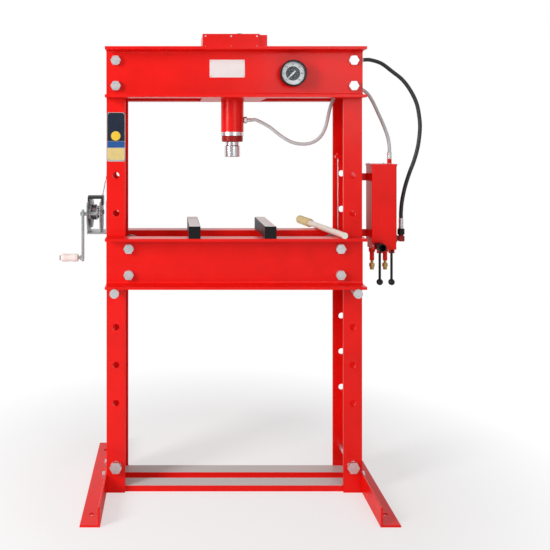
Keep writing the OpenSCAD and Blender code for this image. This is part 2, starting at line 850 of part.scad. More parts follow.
module sheave(bore) {
    color(ZINC) rotate([90, 0, 0]) rotate_extrude($fn = 72) difference() {
        translate([bore, -sheave_w / 2]) square([sheave_rim - bore, sheave_w]);
        translate([sheave_r, 0]) circle(rope_r + rope_gap, $fn = 24);
        translate([sheave_r, -rope_r - rope_gap])
            square([sheave_rim, 2 * (rope_r + rope_gap)]);
    }
}

module guide_sheave() {
    translate([guide_x, rope_y, guide_z]) sheave(guide_pin_r + shaft_play);
}

module left_bed_sheave() {
    translate([-bed_bolt_x, rope_y, bed_sheave_z]) sheave(spacer_r + shaft_play);
}

module right_bed_sheave() {
    translate([bed_bolt_x, rope_y, bed_sheave_z]) sheave(spacer_r + shaft_play);
}

// Bend of the rope round a sheave in the XZ plane, from one angle to another
module rope_bend(from, to) {
    rotate([90, 0, 0]) rotate([0, 0, from]) rotate_extrude(angle = to - from, $fn = 72)
        translate([sheave_r, 0]) circle(rope_r, $fn = 16);
}

// Rope from the drum, up over the guide sheave in the left upright
module rope_winch_run() {
    reach = [run_x - guide_x, winch_z - guide_z];
    leave = atan2(reach[1], reach[0]) + 360 - acos(sheave_r / norm(reach));
    top = [guide_x + sheave_r * cos(leave), guide_z + sheave_r * sin(leave)];
    run = [top[0] - run_x, top[1] - winch_z];
    color(STEEL) {
        translate([guide_x, rope_y, guide_z]) rope_bend(0, leave);
        translate([run_x, rope_y, winch_z]) rotate([0, atan2(run[0], run[1]), 0])
            cylinder(r = rope_r, h = norm(run), $fn = 16);
    }
}

// Two upright lengths of rope that carry the ends of the bed
module rope_falls() {
    color(STEEL) for (side = [-1, 1]) translate([side * fall_x, rope_y, bed_sheave_z])
        cylinder(r = rope_r, h = guide_z - bed_sheave_z, $fn = 16);
}

// Rope under the two bed sheaves and across the bed
module rope_bed_run() {
    color(STEEL) translate([0, rope_y, bed_sheave_z]) {
        translate([-bed_bolt_x, 0, 0]) rope_bend(180, 270);
        translate([bed_bolt_x, 0, 0]) rope_bend(270, 360);
        translate([-bed_bolt_x, 0, -sheave_r]) rotate([0, 90, 0])
            cylinder(r = rope_r, h = 2 * bed_bolt_x, $fn = 16);
    }
}

module rope_anchor() {
    inner_x = frame_w / 2 - web_t;
    arm = inner_x - fall_x + 12;
    color(RED) {
        translate([inner_x - 5, rope_y - 16, guide_z - 20]) cube([5, 32, 50]);
        translate([inner_x - arm, rope_y - 12, guide_z]) cube([arm, 24, 12]);
        translate([fall_x, rope_y, guide_z + 12]) cylinder(r = 8, h = 10);
    }
}

// ---------- bed ----------

module bed_channel() {
    color(RED) difference() {
        translate([0, -bed_play, 0]) lying_channel(-half_d, bed_z);
        for (x = [-bed_bolt_x, bed_bolt_x], z = [bed_bolt_low, bed_bolt_high])
            translate([x, -bed_y - web_t - cut, bed_z + z])
                y_bar(bolt_r + bolt_play, web_t + 2 * cut);
    }
}

module bed_front_channel() { bed_channel(); }

module bed_rear_channel() { mirror([0, 1, 0]) bed_channel(); }

module bed_bolts() {
    color(STEEL) for (x = [-bed_bolt_x, bed_bolt_x], z = [bed_bolt_low, bed_bolt_high])
        translate([x, -bed_y - web_t, bed_z + z]) rotate([-90, 0, 0])
            bolt_set(bolt_d, 2 * (bed_y + web_t));
}

module bed_spacers() {
    color(ZINC) for (x = [-bed_bolt_x, bed_bolt_x], z = [bed_bolt_low, bed_bolt_high])
        translate([x, -bed_y, bed_z + z]) difference() {
            union() {
                y_bar(spacer_r, 2 * bed_y);
                if (z == bed_bolt_high) for (side = [-1, 1])
                    translate([0, bed_y + rope_y - collar_ring_w / 2
                        + side * (guide_half + collar_ring_w / 2), 0])
                        y_bar(collar_ring_r, collar_ring_w);
            }
            translate([0, -cut, 0]) y_bar(spacer_bore, 2 * bed_y + 2 * cut);
        }
}

module arbor_plates() {
    length = 2 * (bed_y + channel_w);
    c = 3;
    color(BLACK) for (x = [left_arbor_x, right_arbor_x])
        translate([x - arbor_w / 2, length / 2, bed_top]) rotate([90, 0, 0])
            linear_extrude(length) polygon([[0, 0], [arbor_w, 0], [arbor_w, arbor_h - c],
                [arbor_w - c, arbor_h], [c, arbor_h], [0, arbor_h - c]]);
}

// The loose pump handle lies front to back across the bed
module on_bed_handle() {
    skew = 6.9;
    from_hole = 50;
    translate([hole_x - from_hole, -bed_y - channel_w - 2, bed_top + handle_d / 2 + 0.1])
        rotate([0, 0, skew]) rotate([-90, 0, 0]) children();
}

module handle_bar() {
    color("#e8dcb4") on_bed_handle() cylinder(r = handle_d / 2, h = handle_l);
}

module handle_grip() {
    r = handle_d / 2 + 7;
    grip = 160;
    color("#e6d27a") on_bed_handle() translate([0, 0, handle_l - grip]) rotate_extrude()
        polygon([[handle_d / 2 + 0.1, 0], [r - 4, 0], [r, 5], [r, grip - 6], [r - 5, grip + 2],
            [0, grip + 2], [0, grip + 0.2], [handle_d / 2 + 0.1, grip + 0.2]]);
}

module bed_pin() {
    color(STEEL) translate([hole_x, 0, pin_z]) {
        translate([0, -pin_front, 0]) y_bar(pin_r, 2 * pin_front);
        translate([0, -pin_front - pin_head_h, 0]) y_bar(pin_head_r, pin_head_h);
    }
}

module left_bed_pin() { mirror([1, 0, 0]) bed_pin(); }

module right_bed_pin() { bed_pin(); }

// ---------- pump unit ----------

// Two bent clips that hold the tank off the upright
module pump_brackets() {
    clip_t = 5;
    clip_d = 44;
    color(RED) for (z = [tank_z + 18, tank_z + tank_h - 70])
        translate([frame_w / 2, tank_y - clip_d / 2, z]) linear_extrude(30)
            polygon([[0, 0], [clip_t, 0], [clip_t, clip_d - clip_t],
                [tank_gap - clip_t, clip_d - clip_t], [tank_gap - clip_t, 0], [tank_gap, 0],
                [tank_gap, clip_d], [0, clip_d]]);
}

module rounded_rect(w, d, r) {
    translate([r, 0]) square([w - 2 * r, d]);
    translate([0, r]) square([w, d - 2 * r]);
    for (x = [r, w - r], y = [r, d - r]) translate([x, y]) circle(r);
}

module pump_tank() {
    color(RED) translate([tank_x, tank_front, tank_z]) difference() {
        linear_extrude(tank_h - lid_t) rounded_rect(tank_w, tank_d, 6);
        translate([tank_t, tank_t, tank_t]) linear_extrude(tank_h)
            rounded_rect(tank_w - 2 * tank_t, tank_d - 2 * tank_t, 4);
    }
}

module pump_lid() {
    lip = 2;
    color(RED) {
        translate([tank_x - lip, tank_front - lip, tank_z + tank_h - lid_t])
            linear_extrude(lid_t) rounded_rect(tank_w + 2 * lip, tank_d + 2 * lip, 7);
        translate([neck_x, tank_y, tank_z + tank_h]) cylinder(r = 9, h = neck_h);
    }
}

module pump_block() {
    block_w = tank_w - 6;
    front = tank_front + 2;
    color(RED) difference() {
        union() {
            translate([tank_x + 4, front, block_z])
                cube([block_w, tank_y + 40 - front, block_h]);
            for (side = [-1, 1]) translate([socket_x - ear_t / 2
                + side * (socket_r + ear_gap + ear_t / 2), socket_y - 9, block_z + 5])
                cube([ear_t, front - socket_y + 12, block_h - 7]);
            for (x = lever_xs, side = [-1, 1])
                translate([x - ear_t / 2 + side * (lug_half + ear_gap + ear_t / 2), lever_y - 7,
                    lever_pivot_z - 7]) cube([ear_t, 14, 17]);
        }
        translate([socket_x - 2 * socket_r, socket_y, socket_z])
            x_bar(socket_pin_r + 0.02, 4 * socket_r);
        translate([tank_x - cut, lever_y, lever_pivot_z])
            x_bar(lever_pin_r + 0.02, tank_w + 2 * cut);
    }
}

module valve_bodies() {
    color(RED) for (x = valve_xs) translate([x, valve_y, block_z]) mirror([0, 0, 1])
        rotate_extrude() polygon([[0, 0], [13, 0], [13, 14], [9, 17], [9, 50], [0, 50]]);
}

module valve_nuts() {
    color(BRASS) for (x = valve_xs) translate([x, valve_y, block_z - 50]) mirror([0, 0, 1]) {
        cylinder(r = 6, h = 12);
        translate([0, 0, 12]) hex(20, 14);
        translate([0, 0, 26]) cylinder(r = 8, h = 12);
    }
}

module valve_lever(x) {
    color(BLACK) translate([x, lever_y, lever_pivot_z]) difference() {
        union() {
            translate([-lug_half, 0, 0]) x_bar(lug_r, 2 * lug_half);
            translate([0, 0, -lever_l]) cylinder(r = lever_r, h = lever_l - lug_r / 2);
            translate([0, 0, -lever_l]) sphere(ball_r);
        }
        translate([-lug_half - cut, 0, 0])
            x_bar(lever_pin_r + shaft_play, 2 * lug_half + 2 * cut);
    }
}

module left_valve_lever() { valve_lever(lever_xs[0]); }

module right_valve_lever() { valve_lever(lever_xs[1]); }

// Socket for the loose handle: a cup on a lug that swings on the block's ears
module pump_socket() {
    color(BLACK) translate([socket_x, socket_y, socket_z]) difference() {
        union() {
            translate([-socket_r, 0, 0]) x_bar(socket_lug_r, 2 * socket_r);
            translate([-socket_r, -socket_start - 2, -socket_lug_r + 2])
                cube([2 * socket_r, socket_start + 2, 2 * socket_lug_r - 4]);
            translate([0, -socket_start - socket_l, 0]) y_bar(socket_r, socket_l);
        }
        translate([0, -socket_start - socket_l - cut, 0]) y_bar(socket_bore / 2, socket_l - 6);
        translate([-socket_r - cut, 0, 0])
            x_bar(socket_pin_r + shaft_play, 2 * socket_r + 2 * cut);
    }
}

// ---------- hoses ----------

module hose_fittings() {
    color(STEEL) {
        // port on the side of the cylinder
        translate([tube_r, 0, port_z]) rotate([0, 90, 0]) rotate([0, 0, 30]) hex(24, 14);
        translate([tube_r + 14, 0, port_z]) x_bar(8, grey_route[0][0] - tube_r - 14);
        // ferrule on the tank's neck
        translate([neck_x, tank_y, tank_z + tank_h + neck_h])
            cylinder(r = 9.5, h = grey_end[2] - tank_z - tank_h - neck_h);
        // bulkhead in the right upright's web
        translate([frame_w / 2 - web_t, 0, inlet_z]) {
            x_bar(bulkhead_r, web_t);
            translate([web_t, 0, 0]) rotate([0, 90, 0]) hex(28, 9);
            translate([web_t + 9, 0, 0])
                x_bar(black_d / 2 + 2, black_route[0][0] - frame_w / 2 - 9);
        }
        // elbow and ferrule on the tank's side
        translate([elbow_x - 32, tank_y, elbow_z]) x_bar(elbow_r - 2, 32);
        translate([elbow_x - 26, tank_y, elbow_z]) rotate([0, 90, 0]) hex(26, 10);
        translate([elbow_x - 12, tank_y - 12, elbow_z - 12]) cube([24, 24, 24]);
        translate([elbow_x, tank_y, elbow_z]) cylinder(r = elbow_r, h = black_end[2] - elbow_z);
        translate([elbow_x, tank_y, elbow_z + 16]) hex(26, 22);
    }
}

function unit(v) = v / norm(v);
function blend_point(a, b, c, d, t) = 0.5 * (2 * b + (c - a) * t
    + (2 * a - 5 * b + 4 * c - d) * t * t + (3 * b - a - 3 * c + d) * t * t * t);

// The route with one point added midway along each stretch, on a smooth curve
function smooth_route(p) = let (n = len(p) - 1) concat(
    [for (i = [0 : n - 1], t = [0, 0.5]) blend_point(
        i > 0 ? p[i - 1] : 2 * p[0] - p[1], p[i], p[i + 1],
        i < n - 1 ? p[i + 2] : 2 * p[n] - p[n - 1], t)], [p[n]]);

module hose(route, r) {
    path = smooth_route(route);
    n = len(path) - 1;
    last = len(route) - 1;
    rings = [for (i = [0 : n])
        let (along = unit(i == 0 ? route[1] - route[0]
                : i == n ? route[last] - route[last - 1] : path[i + 1] - path[i - 1]),
            side = unit(cross(along, [0, 1, 0])), up = cross(along, side))
        each [for (k = [0 : hose_sides - 1]) let (a = k * 360 / hose_sides)
            path[i] + r * (cos(a) * side + sin(a) * up)]];
    walls = [for (i = [0 : n - 1], k = [0 : hose_sides - 1])
        let (a = i * hose_sides + k, b = i * hose_sides + (k + 1) % hose_sides)
        [a, a + hose_sides, b + hose_sides, b]];
    start = [[for (k = [0 : hose_sides - 1]) k]];
    end = [[for (k = [hose_sides - 1 : -1 : 0]) n * hose_sides + k]];
    polyhedron(points = rings, faces = concat(walls, start, end));
}

module grey_hose() { color("#b9bbbd") hose(grey_route, grey_d / 2); }

module black_hose() { color(BLACK) hose(black_route, black_d / 2); }

left_upright();
right_upright();
top_front_channel();
top_rear_channel();
beam_bolts();
left_foot();
right_foot();
cross_ties();
base_bolts();
cylinder_plates();
cylinder_tube();
cylinder_gland();
pressure_pipe();
top_cover();
gauge_case();
gauge_dial();
gauge_glass();
gauge_needle();
winch_frame();
winch_cover();
pivot_pins();
guide_bracket();
rope_anchor();
pump_brackets();
pump_tank();
pump_lid();
pump_block();
valve_bodies();
valve_nuts();
hose_fittings();
grey_hose();
black_hose();
rope_winch_run();
rope_falls();
ram_rod();
piston_seal();
ram_nose();
bed_front_channel();
bed_rear_channel();
bed_bolts();
bed_spacers();
arbor_plates();
handle_bar();
handle_grip();
rope_bed_run();
left_bed_pin();
right_bed_pin();
winch_drum();
drum_gear();
drum_rope();
crank_shaft();
crank_arm();
crank_grip();
pawl();
guide_sheave();
left_bed_sheave();
right_bed_sheave();
pump_socket();
left_valve_lever();
right_valve_lever();
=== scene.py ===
# %% [markdown]
# # A floor-standing hydraulic press with a winch-lifted bed
# The welded and bolted frame, the cylinder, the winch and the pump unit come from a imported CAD
# model. This notebook gives them their finishes and adds what a solid model leaves out: laid
# wire rope, hoses with crimped ends, dial marks, plates, screws and weld beads.

# %% Load the frame
import math

import bmesh
import bpy
from mathutils import Matrix, Vector


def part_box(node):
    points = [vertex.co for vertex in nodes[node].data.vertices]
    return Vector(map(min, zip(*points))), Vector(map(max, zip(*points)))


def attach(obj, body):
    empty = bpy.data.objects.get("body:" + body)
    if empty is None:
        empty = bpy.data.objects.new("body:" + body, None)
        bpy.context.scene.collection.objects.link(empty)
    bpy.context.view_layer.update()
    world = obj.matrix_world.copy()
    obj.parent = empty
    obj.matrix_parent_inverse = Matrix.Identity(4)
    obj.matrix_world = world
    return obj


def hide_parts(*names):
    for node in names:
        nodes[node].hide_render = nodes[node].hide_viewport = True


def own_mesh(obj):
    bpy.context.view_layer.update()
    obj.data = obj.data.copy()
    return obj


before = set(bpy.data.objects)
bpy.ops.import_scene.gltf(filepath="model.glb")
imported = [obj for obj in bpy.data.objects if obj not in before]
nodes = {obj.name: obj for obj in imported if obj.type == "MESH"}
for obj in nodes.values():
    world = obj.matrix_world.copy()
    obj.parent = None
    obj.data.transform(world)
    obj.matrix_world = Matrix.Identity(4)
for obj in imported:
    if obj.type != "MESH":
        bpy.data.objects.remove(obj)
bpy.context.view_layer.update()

# %% [markdown]
# ## The camera
# The press is seen almost square on, from a little left of its middle and at about eye height.
# A camera that looks level keeps every upright vertical, and a lens shift frames the press,
# as an architect's camera does.

# %% Camera
camera_data = bpy.data.cameras.new("press_camera")
camera_data.sensor_width = 36
camera_data.lens = 46.4
camera_data.shift_x = 0.184
camera_data.shift_y = -0.242
camera = bpy.data.objects.new("press_camera", camera_data)
camera.location = (-0.244, -2.957, 1.414)
camera.rotation_euler = (math.radians(90), 0, 0)
bpy.context.scene.collection.objects.link(camera)
bpy.context.scene.camera = camera
print("camera at", tuple(round(v, 3) for v in camera.location))

# %% [markdown]
# ## Small helpers
# Each finished piece is a mesh whose object sits at the origin, so a pattern on Object
# coordinates lies the same way on every piece.

# %% Make a mesh piece
def mesh_piece(name, verts, faces, smooth=False):
    mesh = bpy.data.meshes.new(name)
    mesh.from_pydata([tuple(v) for v in verts], [], faces)
    mesh.validate()
    piece = bpy.data.objects.new(name, mesh)
    bpy.context.scene.collection.objects.link(piece)
    if smooth:
        mesh.polygons.foreach_set("use_smooth", [True] * len(mesh.polygons))
    return piece


print("mesh_piece makes a mesh from points and faces")

# %% Finish a piece: material, slot and body
def finish_piece(piece, material, body):
    piece.data.materials.clear()
    piece.data.materials.append(material)
    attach(piece, body)
    return piece


print("finish_piece gives a mesh its material, slot and body")

# %% Join several shapes into one mesh, with outward faces
def from_bmesh(name, bm, bevel=0.0):
    bmesh.ops.remove_doubles(bm, verts=bm.verts, dist=1e-6)
    bmesh.ops.recalc_face_normals(bm, faces=bm.faces)
    mesh = bpy.data.meshes.new(name)
    bm.to_mesh(mesh)
    bm.free()
    piece = bpy.data.objects.new(name, mesh)
    bpy.context.scene.collection.objects.link(piece)
    if bevel:
        edge = piece.modifiers.new("edge", "BEVEL")
        edge.width = bevel
        edge.segments = 2
        edge.limit_method = "ANGLE"
    return piece


def add_box(bm, low, high):
    size = [h - l for l, h in zip(low, high)]
    middle = [(l + h) / 2 for l, h in zip(low, high)]
    place = Matrix.Translation(middle) @ Matrix.Diagonal((*size, 1))
    bmesh.ops.create_cube(bm, size=1, matrix=place)


def add_turned(bm, profile, place, sides=32):
    rings = []
    for along, radius in profile:
        ring = []
        for k in range(sides):
            a = 2 * math.pi * k / sides
            ring.append(bm.verts.new(place @ Vector((radius * math.cos(a), radius * math.sin(a), along))))
        rings.append(ring)
    for one, two in zip(rings, rings[1:]):
        for k in range(sides):
            bm.faces.new((one[k], one[(k + 1) % sides], two[(k + 1) % sides], two[k]))
    bm.faces.new(list(reversed(rings[0])))
    bm.faces.new(rings[-1])


def aim(axis, at):
    turn = Vector((0, 0, 1)).rotation_difference(Vector(axis)).to_matrix().to_4x4()
    return Matrix.Translation(at) @ turn


print("helpers ready")

# %% [markdown]
# ## Paint and metal
# Every finish is a Principled shader. Noise on Object coordinates breaks up the colour and the
# roughness a little, and a fine bump gives paint its orange-peel skin or metal its tool marks.
# Paint reflects little of its own, so its colour stays deep, and a thin coat adds the gloss.

# %% A shader with a little variation
PAINT_SHEEN = 0.2


def finish(name, colour, rough=0.4, metal=0.0, vary=0.08, grain=60.0, bump=0.0, bump_scale=500.0,
        stretch=(1, 1, 1)):
    material = bpy.data.materials.new(name)
    material.use_nodes = True
    tree = material.node_tree
    shader = tree.nodes["Principled BSDF"]
    shader.inputs["Metallic"].default_value = metal
    if not metal:
        shader.inputs["Specular IOR Level"].default_value = PAINT_SHEEN
    place = tree.nodes.new("ShaderNodeTexCoord")
    turn = tree.nodes.new("ShaderNodeMapping")
    turn.inputs["Scale"].default_value = stretch
    tree.links.new(place.outputs["Object"], turn.inputs["Vector"])
    noise = tree.nodes.new("ShaderNodeTexNoise")
    noise.inputs["Scale"].default_value = grain
    noise.inputs["Detail"].default_value = 3
    tree.links.new(turn.outputs["Vector"], noise.inputs["Vector"])
    tint = tree.nodes.new("ShaderNodeValToRGB")
    tint.color_ramp.elements[0].position = 0.3
    tint.color_ramp.elements[1].position = 0.7
    tint.color_ramp.elements[0].color = (*[c * (1 - vary) for c in colour], 1)
    tint.color_ramp.elements[1].color = (*[min(1, c * (1 + vary)) for c in colour], 1)
    tree.links.new(noise.outputs["Fac"], tint.inputs["Fac"])
    tree.links.new(tint.outputs["Color"], shader.inputs["Base Color"])
    gloss = tree.nodes.new("ShaderNodeMapRange")
    gloss.inputs["To Min"].default_value = max(0.02, rough - 0.06)
    gloss.inputs["To Max"].default_value = rough + 0.06
    tree.links.new(noise.outputs["Fac"], gloss.inputs["Value"])
    tree.links.new(gloss.outputs["Result"], shader.inputs["Roughness"])
    if bump:
        fine = tree.nodes.new("ShaderNodeTexNoise")
        fine.inputs["Scale"].default_value = bump_scale
        fine.inputs["Detail"].default_value = 2
        tree.links.new(turn.outputs["Vector"], fine.inputs["Vector"])
        relief = tree.nodes.new("ShaderNodeBump")
        relief.inputs["Strength"].default_value = bump
        relief.inputs["Distance"].default_value = 0.0005
        tree.links.new(fine.outputs["Fac"], relief.inputs["Height"])
        tree.links.new(relief.outputs["Normal"], shader.inputs["Normal"])
    return material


def with_coat(material, weight, rough=0.08):
    shader = material.node_tree.nodes["Principled BSDF"]
    shader.inputs["Coat Weight"].default_value = weight
    shader.inputs["Coat Roughness"].default_value = rough
    return material


print("sheen of paint:", PAINT_SHEEN)

# %% The finishes of the press
RED = (0.85, 0.008, 0.005)
red_paint = with_coat(finish("red_paint", RED, 0.3, vary=0.06, grain=9, bump=0.12, bump_scale=260), 0.06)
zinc_bolt = finish("zinc_bolt", (0.74, 0.75, 0.76), 0.42, 1.0, 0.06, 90, 0.15, 900)
winch_zinc = finish("winch_zinc", (0.5, 0.51, 0.52), 0.38, 0.9, 0.16, 70, 0.3, 500)
chrome_rod = finish("chrome_rod", (0.82, 0.83, 0.85), 0.1, 1.0, 0.02, 40, 0.05, 700, (1, 1, 12))
turned_steel = finish("turned_steel", (0.74, 0.75, 0.77), 0.24, 1.0, 0.05, 60, 0.2, 700, (1, 1, 9))
black_enamel = with_coat(finish("black_enamel", (0.01, 0.01, 0.011), 0.38, vary=0.2, grain=40, bump=0.1), 0.1)
black_oxide = finish("black_oxide", (0.016, 0.016, 0.018), 0.5, 0.0, 0.25, 45, 0.25, 400)
brass = finish("brass", (0.62, 0.42, 0.13), 0.3, 1.0, 0.1, 80, 0.15, 800)
cream_paint = with_coat(finish("cream_paint", (0.86, 0.83, 0.72), 0.4, vary=0.05, grain=30, bump=0.1), 0.2)
yellow_rubber = finish(
    "yellow_rubber", (0.8, 0.66, 0.33), 0.6, vary=0.07, grain=50, bump=0.35, bump_scale=600)
grip_plastic = finish("grip_plastic", (0.88, 0.74, 0.7), 0.45, vary=0.04, grain=60, bump=0.1, bump_scale=700)
rope_steel = finish("rope_steel", (0.6, 0.61, 0.62), 0.35, 1.0, 0.12, 300, 0.2, 1500)
seal_rubber = finish("seal_rubber", (0.02, 0.02, 0.02), 0.7, vary=0.1, grain=100, bump=0.3)
dial_white = finish("dial_white", (0.87, 0.87, 0.85), 0.5, vary=0.02, grain=60)
ink_black = finish("ink_black", (0.02, 0.02, 0.022), 0.5, vary=0.1, grain=60)
print("finishes:", len(bpy.data.materials))

# %% [markdown]
# ## Painting the CAD nodes
# The CAD nodes keep their shape. Only the material in their slots changes, so the pieces stay
# exactly where they are.

# %% Materials on the CAD nodes
coats = {
    red_paint: """left_upright right_upright top_front_channel top_rear_channel left_foot right_foot
        cylinder_plates cylinder_tube top_cover guide_bracket rope_anchor pump_brackets pump_tank
        pump_lid pump_block valve_bodies bed_front_channel bed_rear_channel""",
    zinc_bolt: "beam_bolts base_bolts bed_bolts pivot_pins left_bed_pin right_bed_pin pressure_pipe",
    winch_zinc: """winch_frame winch_drum drum_gear crank_shaft crank_arm pawl guide_sheave
        left_bed_sheave right_bed_sheave bed_spacers""",
    chrome_rod: "ram_rod",
    turned_steel: "ram_nose",
    black_enamel: "winch_cover gauge_case pump_socket left_valve_lever right_valve_lever",
    brass: "valve_nuts",
    cream_paint: "handle_bar",
    yellow_rubber: "handle_grip",
    grip_plastic: "crank_grip",
    seal_rubber: "piston_seal",
    dial_white: "gauge_dial",
}
for material, names in coats.items():
    for name in names.split():
        nodes[name].data.materials.clear()
        nodes[name].data.materials.append(material)
print("painted", sum(len(v.split()) for v in coats.values()), "nodes")

# %% [markdown]
# ## Pieces with two finishes
# The gland is one turned piece with two finishes: a bright machined ring where it meets the
# tube, and a dark red painted collar below. One material with a step in its colour along Z
# gives both, and the step sits at the height where the collar ends. The same material paints the
# cross ties' top faces pale grey, a painted reflection, and the arbor plates' top faces pale, a
# painted highlight.

# %% A finish that changes at a height
def two_tone(name, low_colour, high_colour, height, rough=0.3, high_metal=1.0):
    material = bpy.data.materials.new(name)
    material.use_nodes = True
    tree = material.node_tree
    shader = tree.nodes["Principled BSDF"]
    place = tree.nodes.new("ShaderNodeTexCoord")
    shader.inputs["Specular IOR Level"].default_value = PAINT_SHEEN
    split = tree.nodes.new("ShaderNodeSeparateXYZ")
    tree.links.new(place.outputs["Object"], split.inputs["Vector"])
    above = tree.nodes.new("ShaderNodeMath")
    above.operation = "GREATER_THAN"
    above.inputs[1].default_value = height
    tree.links.new(split.outputs["Z"], above.inputs[0])
    tint = tree.nodes.new("ShaderNodeMix")
    tint.data_type = "RGBA"
    tint.inputs["A"].default_value = (*low_colour, 1)
    tint.inputs["B"].default_value = (*high_colour, 1)
    tree.links.new(above.outputs["Value"], tint.inputs["Factor"])
    tree.links.new(tint.outputs["Result"], shader.inputs["Base Color"])
    if high_metal:
        tree.links.new(above.outputs["Value"], shader.inputs["Metallic"])
    noise = tree.nodes.new("ShaderNodeTexNoise")
    noise.inputs["Scale"].default_value = 80
    tree.links.new(place.outputs["Object"], noise.inputs["Vector"])
    gloss = tree.nodes.new("ShaderNodeMapRange")
    gloss.inputs["To Min"].default_value = rough - 0.05
    gloss.inputs["To Max"].default_value = rough + 0.07
    tree.links.new(noise.outputs["Fac"], gloss.inputs["Value"])
    tree.links.new(gloss.outputs["Result"], shader.inputs["Roughness"])
    return material


print("two_tone changes finish at a height")

# %% Gland, cross ties and arbor plates
RING_ABOVE_BOTTOM = 0.026
ring_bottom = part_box("cylinder_gland")[0][2] + RING_ABOVE_BOTTOM
gland_finish = two_tone("gland_finish", (0.32, 0.012, 0.01), (0.8, 0.8, 0.82), ring_bottom)
nodes["cylinder_gland"].data.materials.clear()
nodes["cylinder_gland"].data.materials.append(gland_finish)
tie_low, tie_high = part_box("cross_ties")
# The ties are red all over. The pale grey on their top faces is a painted reflection of the light that grazes
# them.
tie_top_reflection_finish = two_tone("tie_top_reflection_finish", RED, (0.62, 0.61, 0.59), tie_high[2] - 0.0008, 0.38, 0.0)
nodes["cross_ties"].data.materials.clear()
nodes["cross_ties"].data.materials.append(tie_top_reflection_finish)
plate_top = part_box("arbor_plates")[1][2]
# The plates' top faces get a pale, non-metal colour: a painted highlight where the light catches them. Their
# sides are black.
PLATE_TOP_HIGHLIGHT = (0.82, 0.82, 0.81)
PLATE_BLACK = (0.008, 0.008, 0.009)
arbor_highlight_finish = two_tone("arbor_highlight_finish", PLATE_BLACK, PLATE_TOP_HIGHLIGHT, plate_top - 0.001, 0.4, 0.0)
nodes["arbor_plates"].data.materials.clear()
nodes["arbor_plates"].data.materials.append(arbor_highlight_finish)
print("gland ring from", round(ring_bottom, 3), "ties up to", round(tie_high[2], 3))

# %% [markdown]
# ## Hoses
# Two hoses join the pump unit to the press. The grey return hose leaves the cylinder's side,
# sags, passes a hole in the right upright and ends on the tank's neck. The black pressure hose
# leaves the top of the upright in a wide arc and ends at the elbow under the tank. Each is one
# tube on one smooth curve through the route's points.

# %% Routes of the hoses
grey_points = [
    (80, 0, 1505), (100, 0, 1505), (152, 0, 1478), (204, 0, 1438), (248, 0, 1413),
    (292, 0, 1405), (332, 0, 1411), (364, 0, 1432), (386, 0, 1468), (398, 0, 1512),
    (408, 0, 1556), (425, 0, 1597), (455, 0, 1628), (495, 0, 1640), (530, 0, 1637),
    (560, -4, 1618), (582, -8, 1584), (602, -14, 1538), (624, -20, 1485),
    (641, -26, 1432), (646, -30, 1392), (646, -30, 1372),
]
black_points = [
    (545, 0, 1756), (575, 0, 1756), (620, -4, 1741), (664, -9, 1707), (706, -14, 1671),
    (738, -19, 1625), (761, -23, 1573), (771, -26, 1517), (773, -28, 1468),
    (765, -29, 1400), (749, -30, 1340), (728, -30, 1284), (710, -30, 1226),
    (698, -30, 1168), (694, -30, 1124), (694, -30, 1100),
]


def smooth_route(points, steps):
    p = [Vector(q) / 1000 for q in points]
    p = [2 * p[0] - p[1], *p, 2 * p[-1] - p[-2]]
    route = []
    for a, b, c, d in zip(p, p[1:], p[2:], p[3:]):
        for k in range(steps):
            t = k / steps
            square = (2 * a - 5 * b + 4 * c - d) * t * t
            cube = (3 * b - a - 3 * c + d) * t**3
            route.append(0.5 * (2 * b + (c - a) * t + square + cube))
    return [*route, p[-2]]


def route_length(route):
    return sum((b - a).length for a, b in zip(route, route[1:]))


grey_route = smooth_route(grey_points, 6)
black_route = smooth_route(black_points, 8)
for word, route in (("grey", grey_route), ("black", black_route)):
    print(word, "hose", round(route_length(route), 3), "m")

# %% [markdown]
# A tube or a rope is swept along its route with a frame that turns as little as it can from
# ring to ring, so the surface doesn't twist. The rope's cross section has a lobe for each
# strand and turns steadily, which lays the strands.

# %% Sweep a cross section
def swept(name, route, section, twist=0.0):
    verts, faces = [], []
    sides = len(section(0.0))
    way = (route[1] - route[0]).normalized()
    side = way.orthogonal().normalized()
    done = 0.0
    for i, point in enumerate(route):
        ahead = route[min(i + 1, len(route) - 1)] - route[max(i - 1, 0)]
        if i == 0:
            ahead = route[1] - route[0]
        elif i < len(route) - 1:
            done += (point - route[i - 1]).length
        else:
            ahead = route[-1] - route[-2]
            done += ahead.length
        way = ahead.normalized()
        side = (side - way * side.dot(way)).normalized()
        up = way.cross(side)
        for x, y in section(done * twist):
            verts.append(point + side * x + up * y)
    for i in range(len(route) - 1):
        for k in range(sides):
            a, b = i * sides + k, i * sides + (k + 1) % sides
            faces.append((a, b, b + sides, a + sides))
    faces.append(list(range(sides))[::-1])
    faces.append([len(verts) - sides + k for k in range(sides)])
    return mesh_piece(name, verts, faces, smooth=True)


def round_section(radius, sides):
    angles = [2 * math.pi * k / sides for k in range(sides)]
    ring = [(radius * math.cos(a), radius * math.sin(a)) for a in angles]
    return lambda turn: ring


print("sweep ready")

# %% [markdown]
# Rubber hose shows fine rings from the wrapping that held it in the mould. The rings follow the
# hose, so the pattern reads a length attribute that is stored on the mesh.

